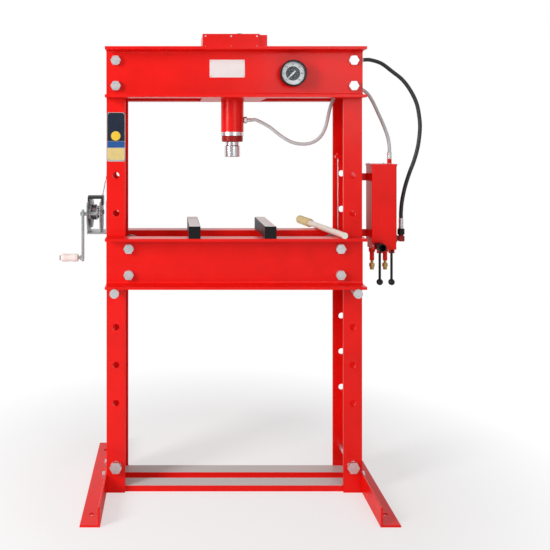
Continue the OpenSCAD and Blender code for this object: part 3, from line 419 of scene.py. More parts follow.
# %% A rubber finish with rings along the hose
def hose_finish(name, colour, rough):
    material = bpy.data.materials.new(name)
    material.use_nodes = True
    tree = material.node_tree
    shader = tree.nodes["Principled BSDF"]
    along = tree.nodes.new("ShaderNodeAttribute")
    along.attribute_name = "along"
    rings = tree.nodes.new("ShaderNodeMath")
    rings.operation = "SINE"
    scale = tree.nodes.new("ShaderNodeMath")
    scale.operation = "MULTIPLY"
    scale.inputs[1].default_value = 1400
    tree.links.new(along.outputs["Fac"], scale.inputs[0])
    tree.links.new(scale.outputs["Value"], rings.inputs[0])
    relief = tree.nodes.new("ShaderNodeBump")
    relief.inputs["Strength"].default_value = 0.25
    relief.inputs["Distance"].default_value = 0.0004
    tree.links.new(rings.outputs["Value"], relief.inputs["Height"])
    tree.links.new(relief.outputs["Normal"], shader.inputs["Normal"])
    place = tree.nodes.new("ShaderNodeTexCoord")
    noise = tree.nodes.new("ShaderNodeTexNoise")
    noise.inputs["Scale"].default_value = 40
    tree.links.new(place.outputs["Object"], noise.inputs["Vector"])
    tint = tree.nodes.new("ShaderNodeValToRGB")
    tint.color_ramp.elements[0].color = (*[c * 0.86 for c in colour], 1)
    tint.color_ramp.elements[1].color = (*[min(1, c * 1.12) for c in colour], 1)
    tree.links.new(noise.outputs["Fac"], tint.inputs["Fac"])
    tree.links.new(tint.outputs["Color"], shader.inputs["Base Color"])
    shader.inputs["Roughness"].default_value = rough
    return material


def store_length(piece, route, sides):
    layer = piece.data.attributes.new("along", "FLOAT", "POINT")
    done, values = 0.0, []
    for i, point in enumerate(route):
        if i:
            done += (point - route[i - 1]).length
        values += [done] * sides
    layer.data.foreach_set("value", values)


grey_rubber = hose_finish("grey_rubber", (0.56, 0.57, 0.58), 0.42)
black_rubber = hose_finish("black_rubber", (0.02, 0.02, 0.022), 0.38)
print("hose finishes ready")

# %% Hose tubes
GREY_RADIUS, BLACK_RADIUS = 0.007, 0.008
HOSE_SIDES = 20
grey_hose = swept("return_hose", grey_route, round_section(GREY_RADIUS, HOSE_SIDES))
store_length(grey_hose, grey_route, HOSE_SIDES)
finish_piece(grey_hose, grey_rubber, "frame")
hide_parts("grey_hose")
black_hose = swept("pressure_hose", black_route, round_section(BLACK_RADIUS, HOSE_SIDES))
store_length(black_hose, black_route, HOSE_SIDES)
finish_piece(black_hose, black_rubber, "frame")
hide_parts("black_hose")
print("hose vertices:", len(grey_hose.data.vertices), len(black_hose.data.vertices))

# %% [markdown]
# ## Hose ends
# A hydraulic hose ends in a steel ferrule that is crimped round it, with a hexagon to hold the
# spanner. Each end is a small turned stack along one axis, so a list of lengths and radii makes
# it, and the hexagons are the same stack with six sides.

# %% A fitting made of turned steps
def fitting(name, at, axis, round_steps, hex_steps):
    bm = bmesh.new()
    for steps, sides in ((round_steps, 40), (hex_steps, 6)):
        for low, high, radius in steps:
            chamfer = min(0.0012, (high - low) / 4)
            profile = [(low, radius - chamfer), (low + chamfer, radius),
                (high - chamfer, radius), (high, radius - chamfer)]
            part = bmesh.new()
            add_turned(part, profile, aim(axis, at), sides)
            mesh = bpy.data.meshes.new("step")
            part.to_mesh(mesh)
            part.free()
            bm.from_mesh(mesh)
            bpy.data.meshes.remove(mesh)
    bmesh.ops.recalc_face_normals(bm, faces=bm.faces)
    mesh = bpy.data.meshes.new(name)
    bm.to_mesh(mesh)
    bm.free()
    piece = bpy.data.objects.new(name, mesh)
    bpy.context.scene.collection.objects.link(piece)
    for polygon in mesh.polygons:
        polygon.use_smooth = False
    return piece


def crimps(start, end, radius, count):
    step = (end - start) / count
    rings = [(start, end, radius - 0.0006)]
    rings += [(start + (i + 0.15) * step, start + (i + 0.85) * step, radius) for i in range(count)]
    return rings


print("a ferrule has", len(crimps(0, 1, 1, 4)) - 1, "crimps round its sleeve")

# %% Fittings on the cylinder, the tank and the upright
fitting_low, fitting_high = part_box("hose_fittings")
grey_start, grey_end = grey_route[0], grey_route[-1]
black_start, black_end = black_route[0], black_route[-1]
TUBE_RADIUS = 0.047
port = fitting("cylinder_port", (TUBE_RADIUS, 0, grey_start.z), (1, 0, 0),
    [(0, 0.004, 0.0115), *crimps(0.014, grey_start.x - TUBE_RADIUS, 0.008, 4)],
    [(0.001, 0.014, 0.0138)])
neck_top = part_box("pump_lid")[1][2]
neck = fitting("neck_ferrule", (grey_end.x, grey_end.y, neck_top), (0, 0, 1),
    crimps(0, grey_end.z - neck_top, 0.0094, 5), [])
WEB_OUTSIDE = 0.515
bulkhead = fitting("bulkhead_union", (WEB_OUTSIDE, 0, black_start.z), (1, 0, 0),
    [(-0.009, 0.001, 0.009), *crimps(0.009, black_start.x - WEB_OUTSIDE, 0.0099, 4)],
    [(0, 0.009, 0.016)])
print("cylinder port, neck and bulkhead at", [round(p, 3) for p in (grey_start.z, neck_top, black_start.z)])

# %% Ferrule, nut and elbow under the tank
FERRULE_Z, NUT_Z, ELBOW_Z = 1.056, 1.032, 1.016
ELBOW_HALF, ELBOW_TOP = 0.012, 0.0118
ferrule = fitting("tank_ferrule", (black_end.x, black_end.y, FERRULE_Z), (0, 0, 1),
    crimps(0, black_end.z - FERRULE_Z, 0.0098, 6), [])
elbow_nut = fitting("elbow_nut", (black_end.x, black_end.y, NUT_Z), (0, 0, 1),
    [(0.001, 0.024, 0.0135)], [(0, 0.022, 0.0149)])
dark_red = with_coat(finish(
    "dark_red_casting", (0.36, 0.014, 0.012), 0.42, vary=0.12, grain=60, bump=0.4, bump_scale=350), 0.2)
elbow_mesh = bmesh.new()
add_box(elbow_mesh, (black_end.x - ELBOW_HALF, black_end.y - ELBOW_HALF, ELBOW_Z - ELBOW_HALF),
    (black_end.x + ELBOW_HALF, black_end.y + ELBOW_HALF, ELBOW_Z + ELBOW_TOP))
elbow = from_bmesh("tank_elbow", elbow_mesh, 0.003)
TANK_SIDE = 0.662
stub = fitting("tank_stub", (TANK_SIDE, black_end.y, ELBOW_Z), (1, 0, 0),
    [(0, 0.022, 0.008)], [(0.006, 0.016, 0.0148)])
neck_of_elbow = fitting("elbow_neck", (black_end.x, black_end.y, ELBOW_Z + ELBOW_TOP), (0, 0, 1),
    [(0, 0.0045, 0.0098)], [])
print("elbow at", round(black_end.x, 3), ELBOW_Z)

# %% Finish the fittings
for piece in (port, neck, bulkhead, ferrule):
    finish_piece(piece, zinc_bolt, "frame")
finish_piece(elbow_nut, black_oxide, "frame")
for piece in (elbow, stub, neck_of_elbow):
    finish_piece(piece, dark_red, "frame")
for piece in (port, neck, bulkhead, ferrule, elbow_nut, elbow, stub, neck_of_elbow):
    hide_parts("hose_fittings")
print("fittings from", [round(v, 3) for v in fitting_low], "to", [round(v, 3) for v in fitting_high])


# %% [markdown]
# ## Laid wire rope
# The rope that lifts the bed is six strands laid round each other. A swept section with six
# lobes that turns along the way gives real strands, which catch the light as a flat texture
# can't.

# %% Rope section and straight routes
ROPE_RADIUS = 0.003
STRANDS = 6
LAY_LENGTH = 0.038


def strand_section(turn):
    ring = []
    for k in range(24):
        a = 2 * math.pi * k / 24
        r = ROPE_RADIUS * (0.86 + 0.135 * abs(math.cos(STRANDS * a / 2)))
        ring.append((r * math.cos(a + turn), r * math.sin(a + turn)))
    return ring


def between(a, b, step=0.0022):
    a, b = Vector(a), Vector(b)
    count = max(2, round((b - a).length / step))
    return [a.lerp(b, i / count) for i in range(count + 1)]


def bend(middle, radius, start, end, step=0.0022):
    count = max(2, round(radius * math.radians(abs(end - start)) / step))
    angles = [math.radians(start + (end - start) * i / count) for i in range(count + 1)]
    x, y, z = middle
    return [Vector((x + radius * math.cos(a), y, z + radius * math.sin(a))) for a in angles]


def rope(name, route, node, body):
    piece = swept(name, route, strand_section, 2 * math.pi / LAY_LENGTH)
    finish_piece(piece, rope_steel, body)
    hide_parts(node)
    return piece


print("strands:", STRANDS)

# %% Rope on the bed and up the two falls
SHEAVE_RADIUS = 0.03
ROPE_Y = 0.06
left_low, left_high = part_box("left_bed_sheave")
right_low, right_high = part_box("right_bed_sheave")
left_middle = ((left_low[0] + left_high[0]) / 2, ROPE_Y, (left_low[2] + left_high[2]) / 2)
right_middle = ((right_low[0] + right_high[0]) / 2, ROPE_Y, (right_low[2] + right_high[2]) / 2)
under = left_middle[2] - SHEAVE_RADIUS
bed_way = bend(left_middle, SHEAVE_RADIUS, 180, 270)
bed_way += between((left_middle[0], ROPE_Y, under), (right_middle[0], ROPE_Y, under))[1:]
bed_way += bend(right_middle, SHEAVE_RADIUS, 270, 360)[1:]
rope("bed_rope", bed_way, "rope_bed_run", "bed")
fall_low, fall_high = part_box("rope_falls")
FALL_X = right_middle[0] + SHEAVE_RADIUS
for side, word in ((-1, "left"), (1, "right")):
    foot, head = [(side * FALL_X, ROPE_Y, z) for z in (fall_low[2], fall_high[2])]
    fall = rope(f"{word}_fall", between(foot, head), "rope_falls", "frame")
    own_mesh(fall)

# %% Rope over the guide sheave
guide_low, guide_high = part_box("guide_sheave")
guide_middle = ((guide_low[0] + guide_high[0]) / 2, ROPE_Y, (guide_low[2] + guide_high[2]) / 2)
drum_low, drum_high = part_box("winch_drum")
DRUM_Y = (drum_low[1] + drum_high[1]) / 2
DRUM_Z = (drum_low[2] + drum_high[2]) / 2
RUN_PAST_COILS = 0.0038
run_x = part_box("drum_rope")[1][0] + RUN_PAST_COILS
reach = Vector((run_x - guide_middle[0], DRUM_Z - guide_middle[2]))
toward, short_of = math.atan2(reach.y, reach.x), math.acos(SHEAVE_RADIUS / reach.length)
leave = math.degrees(toward) + 360 - math.degrees(short_of)
over = bend(guide_middle, SHEAVE_RADIUS, 0, leave)
rope("winch_rope", over + between(over[-1], (run_x, ROPE_Y, DRUM_Z))[1:], "rope_winch_run", "frame")
print("rope leaves the guide sheave at", round(leave, 1), "degrees")

# %% Rope on the drum
TURNS, POINTS_PER_TURN = 3, 90
FIRST_COIL, COIL_PITCH = 0.0044, 0.0062
radius = ROPE_Y - DRUM_Y
winding = []
for i in range(TURNS * POINTS_PER_TURN + 1):
    a = -2 * math.pi * i / POINTS_PER_TURN
    along = run_x - FIRST_COIL - COIL_PITCH * i / POINTS_PER_TURN
    winding.append(Vector((along, DRUM_Y + radius * math.cos(a), DRUM_Z + radius * math.sin(a))))
rope("drum_winding", winding, "drum_rope", "drum")
print("turns on the drum:", TURNS)

# %% [markdown]
# ## Repeats with Geometry Nodes
# Dial marks, screw heads and weld ripples are one small shape repeated by a rule, so node trees
# make them. Each tree has named inputs. The result is made a plain mesh and the modifier is
# taken off, because the frame moves meshes only.

# %% Build and run a node tree
def new_tree(name, inputs):
    tree = bpy.data.node_groups.new(name, "GeometryNodeTree")
    tree.interface.new_socket("Geometry", in_out="INPUT", socket_type="NodeSocketGeometry")
    for label, kind in inputs:
        tree.interface.new_socket(label, in_out="INPUT", socket_type=kind)
    tree.interface.new_socket("Geometry", in_out="OUTPUT", socket_type="NodeSocketGeometry")
    return tree, tree.nodes.new("NodeGroupInput"), tree.nodes.new("NodeGroupOutput")


def close_tree(tree, last, given, out):
    real = tree.nodes.new("GeometryNodeRealizeInstances")
    paint = tree.nodes.new("GeometryNodeSetMaterial")
    tree.links.new(last, real.inputs["Geometry"])
    tree.links.new(real.outputs["Geometry"], paint.inputs["Geometry"])
    tree.links.new(given.outputs["Material"], paint.inputs["Material"])
    tree.links.new(paint.outputs["Geometry"], out.inputs["Geometry"])


def run_tree(piece, tree, values):
    node = piece.modifiers.new("nodes", "NODES")
    node.node_group = tree
    for socket in tree.interface.items_tree:
        if socket.in_out == "INPUT" and socket.name in values:
            node[socket.identifier] = values[socket.name]
    graph = bpy.context.evaluated_depsgraph_get()
    made = bpy.data.meshes.new_from_object(piece.evaluated_get(graph))
    name = piece.name
    bpy.data.objects.remove(piece)
    plain = bpy.data.objects.new(name, made)
    bpy.context.scene.collection.objects.link(plain)
    return plain


print("tree helpers ready")

# %% [markdown]
# ### Screw heads
# A screw head sits on every listed point. The points are the vertices of a loose mesh, and each
# head is a low dome: a short cone with a flat top.

# %% Screw head tree
screw_tree, given, out = new_tree("screw_heads", [
    ("Head radius", "NodeSocketFloat"), ("Head height", "NodeSocketFloat"),
    ("Turn", "NodeSocketVector"), ("Material", "NodeSocketMaterial")])
head = screw_tree.nodes.new("GeometryNodeMeshCone")
head.inputs["Vertices"].default_value = 20
screw_tree.links.new(given.outputs["Head radius"], head.inputs["Radius Bottom"])
screw_tree.links.new(given.outputs["Head height"], head.inputs["Depth"])
smaller = screw_tree.nodes.new("ShaderNodeMath")
smaller.operation = "MULTIPLY"
smaller.inputs[1].default_value = 0.72
screw_tree.links.new(given.outputs["Head radius"], smaller.inputs[0])
screw_tree.links.new(smaller.outputs["Value"], head.inputs["Radius Top"])
place = screw_tree.nodes.new("GeometryNodeInstanceOnPoints")
screw_tree.links.new(given.outputs["Geometry"], place.inputs["Points"])
screw_tree.links.new(head.outputs["Mesh"], place.inputs["Instance"])
screw_tree.links.new(given.outputs["Turn"], place.inputs["Rotation"])
close_tree(screw_tree, place.outputs["Instances"], given, out)


def screws(name, points, facing, radius, height, material, body):
    loose = mesh_piece(name, points, [])
    turn = Vector((0, 0, 1)).rotation_difference(Vector(facing)).to_euler()
    heads = run_tree(loose, screw_tree, {
        "Head radius": radius, "Head height": height, "Turn": tuple(turn), "Material": material})
    return finish_piece(heads, material, body)


print("screw tree has", len(screw_tree.nodes), "nodes")

# %% [markdown]
# ### Weld beads
# A fillet weld is a row of overlapping ripples along a seam. The tree cuts the seam into even
# steps, puts a squashed ball on each, and varies their size a little from a fixed seed.

# %% Weld tree
weld_tree, given, out = new_tree("weld_bead", [
    ("Bead radius", "NodeSocketFloat"), ("Step", "NodeSocketFloat"),
    ("Seed", "NodeSocketInt"), ("Material", "NodeSocketMaterial")])
to_curve = weld_tree.nodes.new("GeometryNodeMeshToCurve")
weld_tree.links.new(given.outputs["Geometry"], to_curve.inputs["Mesh"])
even = weld_tree.nodes.new("GeometryNodeResampleCurve")
even.mode = "LENGTH"
weld_tree.links.new(to_curve.outputs["Curve"], even.inputs["Curve"])
weld_tree.links.new(given.outputs["Step"], even.inputs["Length"])
ripple = weld_tree.nodes.new("GeometryNodeMeshIcoSphere")
ripple.inputs["Subdivisions"].default_value = 2
weld_tree.links.new(given.outputs["Bead radius"], ripple.inputs["Radius"])
along = weld_tree.nodes.new("GeometryNodeInputTangent")
turn = weld_tree.nodes.new("FunctionNodeAlignRotationToVector")
turn.axis = "Z"
weld_tree.links.new(along.outputs["Tangent"], turn.inputs["Vector"])
size = weld_tree.nodes.new("FunctionNodeRandomValue")
size.data_type = "FLOAT_VECTOR"
size.inputs["Min"].default_value = (0.85, 0.85, 0.5)
size.inputs["Max"].default_value = (1.1, 1.1, 0.62)
weld_tree.links.new(given.outputs["Seed"], size.inputs["Seed"])
beads = weld_tree.nodes.new("GeometryNodeInstanceOnPoints")
weld_tree.links.new(even.outputs["Curve"], beads.inputs["Points"])
weld_tree.links.new(ripple.outputs["Mesh"], beads.inputs["Instance"])
weld_tree.links.new(turn.outputs["Rotation"], beads.inputs["Rotation"])
weld_tree.links.new(size.outputs["Value"], beads.inputs["Scale"])
close_tree(weld_tree, beads.outputs["Instances"], given, out)


def weld(name, seams, radius, material, body, seed=3):
    verts, edges = [], []
    for seam in seams:
        first = len(verts)
        verts += [tuple(p) for p in seam]
        edges += [(first + i, first + i + 1) for i in range(len(seam) - 1)]
    mesh = bpy.data.meshes.new(name)
    mesh.from_pydata(verts, edges, [])
    loose = bpy.data.objects.new(name, mesh)
    bpy.context.scene.collection.objects.link(loose)
    bead = run_tree(loose, weld_tree, {
        "Bead radius": radius, "Step": radius * 0.8, "Seed": seed, "Material": material})
    bead.data.polygons.foreach_set("use_smooth", [True] * len(bead.data.polygons))
    return finish_piece(bead, material, body)


print("weld tree has", len(weld_tree.nodes), "nodes")

# %% Welds on the frame
beam_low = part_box("top_front_channel")[0]
tube_ring = [(TUBE_RADIUS * math.cos(a), TUBE_RADIUS * math.sin(a), beam_low[2] - 0.0005)
    for a in [2 * math.pi * k / 64 for k in range(65)]]
cover_low, cover_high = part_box("top_cover")
STEP_WIDTH = 0.03
cover_seams = [[(x, y, cover_low[2]) for x in (cover_low[0], cover_high[0] - STEP_WIDTH)]
    for y in (cover_low[1], cover_high[1])]
clip_low, clip_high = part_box("pump_brackets")
clip_seams = [[(x, y, z), (x, y, z + 0.03)] for x in (clip_low[0] + 0.0003, clip_high[0] - 0.0003)
    for y in (clip_low[1], clip_high[1]) for z in (clip_low[2], clip_high[2] - 0.03)]
TIE_SEAM = (0.44, 0.495)
tie_seams = [[(s * x, y, tie_high[2] + 0.0003) for x in TIE_SEAM]
    for s in (-1, 1) for y in (tie_low[1] + 0.0005, tie_high[1] - 0.0005)]
BEAD_RADIUS = 0.0028
seams = [tube_ring, *cover_seams, *clip_seams, *tie_seams]
weld("frame_welds", seams, BEAD_RADIUS, red_paint, "frame")
print("weld seams:", len(seams))

# %% [markdown]
# ## The gauge's dial
# The dial is a white ring with a dark middle. Its marks are thin printed bars round the edge,
# longer at each number, and the numbers only count pressure. The printing stands 0.2 mm proud,
# so that it shows at any distance.

# %% Dial marks
marks_tree, given, out = new_tree("dial_marks", [
    ("Count", "NodeSocketInt"), ("Ring radius", "NodeSocketFloat"),
    ("Start", "NodeSocketFloat"), ("Sweep", "NodeSocketFloat"),
    ("Mark", "NodeSocketVector"), ("Material", "NodeSocketMaterial")])
arc = marks_tree.nodes.new("GeometryNodeCurveArc")
marks_tree.links.new(given.outputs["Count"], arc.inputs["Resolution"])
marks_tree.links.new(given.outputs["Ring radius"], arc.inputs["Radius"])
marks_tree.links.new(given.outputs["Start"], arc.inputs["Start Angle"])
marks_tree.links.new(given.outputs["Sweep"], arc.inputs["Sweep Angle"])
bar = marks_tree.nodes.new("GeometryNodeMeshCube")
marks_tree.links.new(given.outputs["Mark"], bar.inputs["Size"])
way = marks_tree.nodes.new("GeometryNodeInputTangent")
face = marks_tree.nodes.new("FunctionNodeAlignRotationToVector")
face.axis = "X"
marks_tree.links.new(way.outputs["Tangent"], face.inputs["Vector"])
rows = marks_tree.nodes.new("GeometryNodeInstanceOnPoints")
marks_tree.links.new(arc.outputs["Curve"], rows.inputs["Points"])
marks_tree.links.new(bar.outputs["Mesh"], rows.inputs["Instance"])
marks_tree.links.new(face.outputs["Rotation"], rows.inputs["Rotation"])
close_tree(marks_tree, rows.outputs["Instances"], given, out)

dial_low, dial_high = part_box("gauge_dial")
DIAL = Vector(((dial_low[0] + dial_high[0]) / 2, dial_low[1], (dial_low[2] + dial_high[2]) / 2))
FACE_TURN = Matrix.Rotation(math.radians(90), 4, "X")


def dial_marks(name, count, ring, mark):
    loose = mesh_piece(name, [(0, 0, 0)], [])
    piece = run_tree(loose, marks_tree, {
        "Count": count, "Ring radius": ring, "Start": math.radians(-45),
        "Sweep": math.radians(270), "Mark": mark, "Material": ink_black})
    piece.data.transform(Matrix.Translation(DIAL + Vector((0, -0.0001, 0))) @ FACE_TURN)
    return finish_piece(piece, ink_black, "frame")


FINE_RING, NUMBER_MARK_RING = 0.0432, 0.0425
dial_marks("fine_marks", 61, FINE_RING, (0.0004, 0.0024, 0.0002))
dial_marks("number_marks", 7, NUMBER_MARK_RING, (0.0010, 0.0042, 0.0003))
print("dial at", tuple(round(v, 3) for v in DIAL))

# %% Numbers and the dark middle
def printed(name, text, size, at, material, body):
    curve = bpy.data.curves.new(name, "FONT")
    curve.body = text
    curve.size = size
    curve.align_x = "CENTER"
    curve.align_y = "CENTER"
    curve.extrude = 0.00012
    loose = bpy.data.objects.new(name, curve)
    bpy.context.scene.collection.objects.link(loose)
    bpy.context.view_layer.update()
    mesh = bpy.data.meshes.new_from_object(loose.evaluated_get(bpy.context.evaluated_depsgraph_get()))
    bpy.data.objects.remove(loose)
    mesh.transform(Matrix.Translation(at) @ FACE_TURN)
    piece = bpy.data.objects.new(name, mesh)
    bpy.context.scene.collection.objects.link(piece)
    return finish_piece(piece, material, body)


NUMBER_RING, MIDDLE_RADIUS = 0.0355, 0.0285
for k in range(7):
    a = math.radians(225 - 45 * k)
    spot = DIAL + Vector((NUMBER_RING * math.cos(a), -0.0002, NUMBER_RING * math.sin(a)))
    printed(f"number_{10 * k}", str(10 * k), 0.0085, spot, ink_black, "frame")
dark_dial = finish("dark_dial", (0.07, 0.08, 0.085), 0.45, vary=0.1, grain=60)
middle = bmesh.new()
add_turned(middle, [(0, MIDDLE_RADIUS), (0.0007, MIDDLE_RADIUS)], aim((0, -1, 0), DIAL), 64)
finish_piece(from_bmesh("dial_middle", middle), dark_dial, "frame")
pointer_white = finish("pointer_white", (0.85, 0.85, 0.83), 0.4, vary=0.02, grain=50)
nodes["gauge_needle"].data.materials.clear()
nodes["gauge_needle"].data.materials.append(pointer_white)
print("numbers 0 to 60")

# %% [markdown]
# ## Gauge glass
# The glass is a thin flat disc. It has full transmission, so the dial shows through, and a
# smooth surface, so that it catches the lamps.

# %% Glass
glass = bpy.data.materials.new("gauge_glass")
glass.use_nodes = True
shader = glass.node_tree.nodes["Principled BSDF"]
shader.inputs["Base Color"].default_value = (0.96, 0.98, 1, 1)
shader.inputs["Roughness"].default_value = 0.02
shader.inputs["Transmission Weight"].default_value = 1.0
shader.inputs["IOR"].default_value = 1.1
nodes["gauge_glass"].data.materials.clear()
nodes["gauge_glass"].data.materials.append(glass)

# %% [markdown]
# ## Plates
# A bare white plate is riveted to the beam. The plate on the left upright is enamelled in
# fields: a dark one with a yellow disc, a blue band and a cream panel. The fields carry no
# words or marks.

# %% A flat plate with rounded corners, facing the front
def front_plate(name, x0, x1, z0, z1, y, thick, corner, material):
    outline = []
    centres = ((x1 - corner, z1 - corner), (x0 + corner, z1 - corner),
        (x0 + corner, z0 + corner), (x1 - corner, z0 + corner))
    for (cx, cz), start in zip(centres, (0, 90, 180, 270)):
        for k in range(7):
            a = math.radians(start + 15 * k)
            outline.append((cx + corner * math.cos(a), cz + corner * math.sin(a)))
    count = len(outline)
    verts = [(x, y - thick, z) for x, z in outline] + [(x, y, z) for x, z in outline]
    faces = [list(range(count)), list(range(2 * count - 1, count - 1, -1))]
    faces += [(k, k + count, (k + 1) % count + count, (k + 1) % count) for k in range(count)]
    piece = mesh_piece(name, verts, faces)
    bm = bmesh.new()
    bm.from_mesh(piece.data)
    bmesh.ops.recalc_face_normals(bm, faces=bm.faces)
    bm.to_mesh(piece.data)
    bm.free()
    return finish_piece(piece, material, "frame")


plate_white = with_coat(finish("plate_white", (0.86, 0.86, 0.85), 0.3, vary=0.03, grain=30), 0.3)
BEAM_FACE = beam_low[1]
WEB_FACE, RIVET_FACE = -0.109, -0.1105
front_plate("blank_plate", -0.100, 0.041, 1.673, 1.744, WEB_FACE, 0.001, 0.003, plate_white)
rivets = [(x, RIVET_FACE, z) for x in (-0.094, 0.035) for z in (1.679, 1.738)]
screws("blank_plate_rivets", rivets, (0, -1, 0), 0.003, 0.0012, zinc_bolt, "frame")
print("plate on the beam's web at Y", WEB_FACE, "and flange edge at", round(BEAM_FACE, 3))

# %% Enamelled plate on the left upright
POST_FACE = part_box("left_upright")[0][1]
plate_grey = finish("plate_grey", (0.5, 0.5, 0.49), 0.35, 0.3, 0.05, 40)
enamel_dark = with_coat(finish("enamel_dark", (0.012, 0.02, 0.04), 0.3, vary=0.15, grain=40), 0.4)
enamel_blue = with_coat(finish("enamel_blue", (0.02, 0.09, 0.3), 0.3, vary=0.08, grain=40), 0.4)
enamel_cream = with_coat(finish("enamel_cream", (0.72, 0.56, 0.22), 0.35, vary=0.06, grain=40), 0.3)
enamel_yellow = with_coat(finish("enamel_yellow", (0.85, 0.55, 0.05), 0.3, vary=0.05, grain=40), 0.3)
front_plate("upright_plate", -0.514, -0.440, 1.335, 1.533, POST_FACE, 0.0008, 0.008, plate_grey)
front_plate("dark_field", -0.512, -0.442, 1.417, 1.531, POST_FACE - 0.0008, 0.0003, 0.0015, enamel_dark)
front_plate("blue_field", -0.512, -0.442, 1.391, 1.416, POST_FACE - 0.0008, 0.0003, 0.001, enamel_blue)
front_plate("cream_field", -0.511, -0.443, 1.342, 1.389, POST_FACE - 0.0008, 0.0003, 0.004, enamel_cream)
DISC_RADIUS = 0.019
disc = bmesh.new()
disc_place = aim((0, -1, 0), (-0.478, POST_FACE - 0.0011, 1.438))
add_turned(disc, [(0, DISC_RADIUS), (0.0003, DISC_RADIUS)], disc_place, 48)
finish_piece(from_bmesh("yellow_disc", disc), enamel_yellow, "frame")
rivets = [(x, POST_FACE - 0.0014, z) for x in (-0.508, -0.446) for z in (1.3438, 1.5275)]
screws("upright_plate_rivets", rivets, (0, -1, 0), 0.0025, 0.0012, zinc_bolt, "frame")
print("upright's front face at Y", round(POST_FACE, 3))

# %% [markdown]
# ## Small trim
# The cover on the beam has a black filler cap and screws. The return hose passes the upright's
# web through a rubber grommet, and the tank's lid is held by four screws.

# %% Cap and screws
cap = bmesh.new()
cap_profile = [(0, 0.014), (0.007, 0.014), (0.0095, 0.0125), (0.0095, 0.006)]
add_turned(cap, cap_profile, aim((0, 0, 1), (0.027, -0.02, cover_high[2])), 40)
finish_piece(from_bmesh("cover_cap", cap), black_enamel, "frame")
cover_points = [(x, cover_low[1] - 0.001, z) for x in (-0.115, -0.011, 0.093) for z in (1.800, 1.842)]
screws("cover_screws", cover_points, (0, -1, 0), 0.004, 0.002, zinc_bolt, "frame")
lid_low, lid_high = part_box("pump_lid")
NECK_HEIGHT = 0.019
lid_top = lid_high[2] - NECK_HEIGHT
lid_points = [(x, y, lid_top + 0.001) for x in (lid_low[0] + 0.011, lid_high[0] - 0.03)
    for y in (lid_low[1] + 0.011, lid_high[1] - 0.011)]
screws("lid_screws", lid_points, (0, 0, 1), 0.0045, 0.002, zinc_bolt, "frame")
print("lid top at", round(lid_top, 3))

# %% Grommet in the upright's web
GROMMET = Vector((0.5105, 0, 1.640))
ring = bmesh.new()
profile = [(0.0085, -0.008), (0.013, -0.008), (0.0165, -0.006), (0.0165, -0.0048), (0.0128, -0.0046),
    (0.0128, 0.0046), (0.0165, 0.0048), (0.0165, 0.006), (0.013, 0.008), (0.0085, 0.008)]
loops = []
for k in range(40):
    a = 2 * math.pi * k / 40
    spots = [Vector((x, r * math.cos(a), r * math.sin(a))) for r, x in profile]
    loops.append([ring.verts.new(GROMMET + spot) for spot in spots])
for k in range(40):
    one, two = loops[k], loops[(k + 1) % 40]
    for i in range(len(profile)):
        j = (i + 1) % len(profile)
        ring.faces.new((one[i], one[j], two[j], two[i]))
finish_piece(from_bmesh("hose_grommet", ring), seal_rubber, "frame")
print("grommet at", tuple(round(v, 3) for v in GROMMET))

# %% [markdown]
# ## Floor, background and light
# The press stands on a pale floor that fades to white far away. A large soft lamp from the left
# gives the bright edges, a weaker one fills from the right, and the world adds an even level.
# Polished metal sees a white world behind the press and a darker one in front of it, as in a
# studio, so that round pieces show their form.

# %% Floor
floor_verts = [(-9, -7, 0), (9, -7, 0), (9, 11, 0), (-9, 11, 0)]
floor = mesh_piece("floor", floor_verts, [(0, 1, 2, 3)])
ground = bpy.data.materials.new("pale_floor")
ground.use_nodes = True
tree = ground.node_tree
shader = tree.nodes["Principled BSDF"]
shader.inputs["Base Color"].default_value = (0.93, 0.93, 0.93, 1)
shader.inputs["Roughness"].default_value = 0.7
white = tree.nodes.new("ShaderNodeEmission")
white.inputs["Strength"].default_value = 1.0
place = tree.nodes.new("ShaderNodeTexCoord")
far = tree.nodes.new("ShaderNodeVectorMath")
far.operation = "LENGTH"
tree.links.new(place.outputs["Object"], far.inputs[0])
fade = tree.nodes.new("ShaderNodeMapRange")
fade.inputs["From Min"].default_value = 0.75
fade.inputs["From Max"].default_value = 1.5
fade.inputs["To Min"].default_value = 0.55
tree.links.new(far.outputs["Value"], fade.inputs["Value"])
ray = tree.nodes.new("ShaderNodeLightPath")
seen = tree.nodes.new("ShaderNodeMath")
seen.operation = "MULTIPLY"
tree.links.new(fade.outputs["Result"], seen.inputs[0])
tree.links.new(ray.outputs["Is Camera Ray"], seen.inputs[1])
mix = tree.nodes.new("ShaderNodeMixShader")
tree.links.new(seen.outputs["Value"], mix.inputs["Fac"])
tree.links.new(shader.outputs["BSDF"], mix.inputs[1])
tree.links.new(white.outputs["Emission"], mix.inputs[2])
tree.links.new(mix.outputs["Shader"], tree.nodes["Material Output"].inputs["Surface"])
floor.data.materials.append(ground)
print("floor", [tuple(v) for v in floor_verts[:2]])

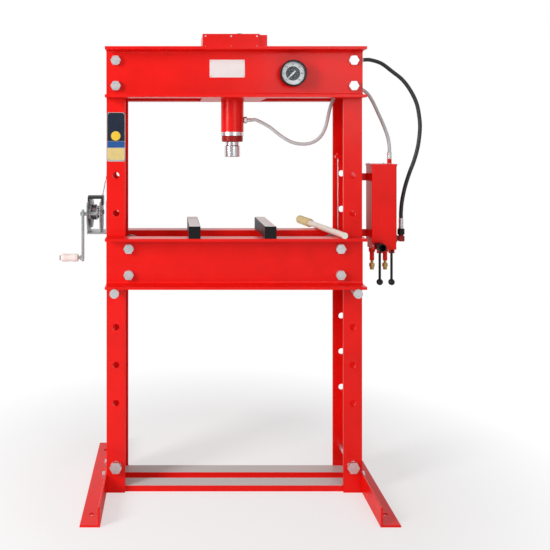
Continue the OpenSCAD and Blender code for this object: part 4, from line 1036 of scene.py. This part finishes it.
# %% World
ROOM_IN_FRONT, WORLD_LEVEL = 0.4, 0.4
world = bpy.data.worlds.new("studio")
bpy.context.scene.world = world
world.use_nodes = True
tree = world.node_tree
plain = tree.nodes["Background"]
plain.inputs["Color"].default_value = (1, 1, 1, 1)
plain.inputs["Strength"].default_value = WORLD_LEVEL
bright = tree.nodes.new("ShaderNodeBackground")
bright.inputs["Color"].default_value = (1, 1, 1, 1)
ray = tree.nodes.new("ShaderNodeLightPath")
either = tree.nodes.new("ShaderNodeMath")
either.operation = "MAXIMUM"
tree.links.new(ray.outputs["Is Camera Ray"], either.inputs[0])
tree.links.new(ray.outputs["Is Transmission Ray"], either.inputs[1])
shiny = tree.nodes.new("ShaderNodeMath")
shiny.operation = "MAXIMUM"
tree.links.new(either.outputs["Value"], shiny.inputs[0])
tree.links.new(ray.outputs["Is Glossy Ray"], shiny.inputs[1])
mix = tree.nodes.new("ShaderNodeMixShader")
facing = tree.nodes.new("ShaderNodeTexCoord")
split = tree.nodes.new("ShaderNodeSeparateXYZ")
tree.links.new(facing.outputs["Generated"], split.inputs["Vector"])
room = tree.nodes.new("ShaderNodeMapRange")
room.inputs["From Min"].default_value = -1.0
room.inputs["To Min"].default_value = ROOM_IN_FRONT
tree.links.new(split.outputs["Y"], room.inputs["Value"])
level = tree.nodes.new("ShaderNodeMath")
level.operation = "MAXIMUM"
tree.links.new(either.outputs["Value"], level.inputs[0])
tree.links.new(room.outputs["Result"], level.inputs[1])
tree.links.new(level.outputs["Value"], bright.inputs["Strength"])
tree.links.new(shiny.outputs["Value"], mix.inputs["Fac"])
tree.links.new(plain.outputs["Background"], mix.inputs[1])
tree.links.new(bright.outputs["Background"], mix.inputs[2])
tree.links.new(mix.outputs["Shader"], tree.nodes["World Output"].inputs["Surface"])
print("world level", WORLD_LEVEL)

# %% Lamps
def soft_lamp(name, at, target, size, power):
    lamp = bpy.data.lights.new(name, "AREA")
    lamp.shape = "RECTANGLE"
    lamp.size, lamp.size_y = size
    lamp.energy = power
    holder = bpy.data.objects.new(name, lamp)
    holder.location = at
    holder.rotation_euler = (Vector(target) - Vector(at)).to_track_quat("-Z", "Y").to_euler()
    bpy.context.scene.collection.objects.link(holder)


soft_lamp("left_window", (-3.2, -2.2, 2.4), (0, 0, 0.95), (1.0, 1.8), 105)
soft_lamp("front_fill", (1.6, -4.2, 2.2), (0, 0, 0.9), (2.0, 1.6), 30)
print("lamps: 2")

# %% View settings
bpy.context.scene.view_settings.view_transform = "Standard"
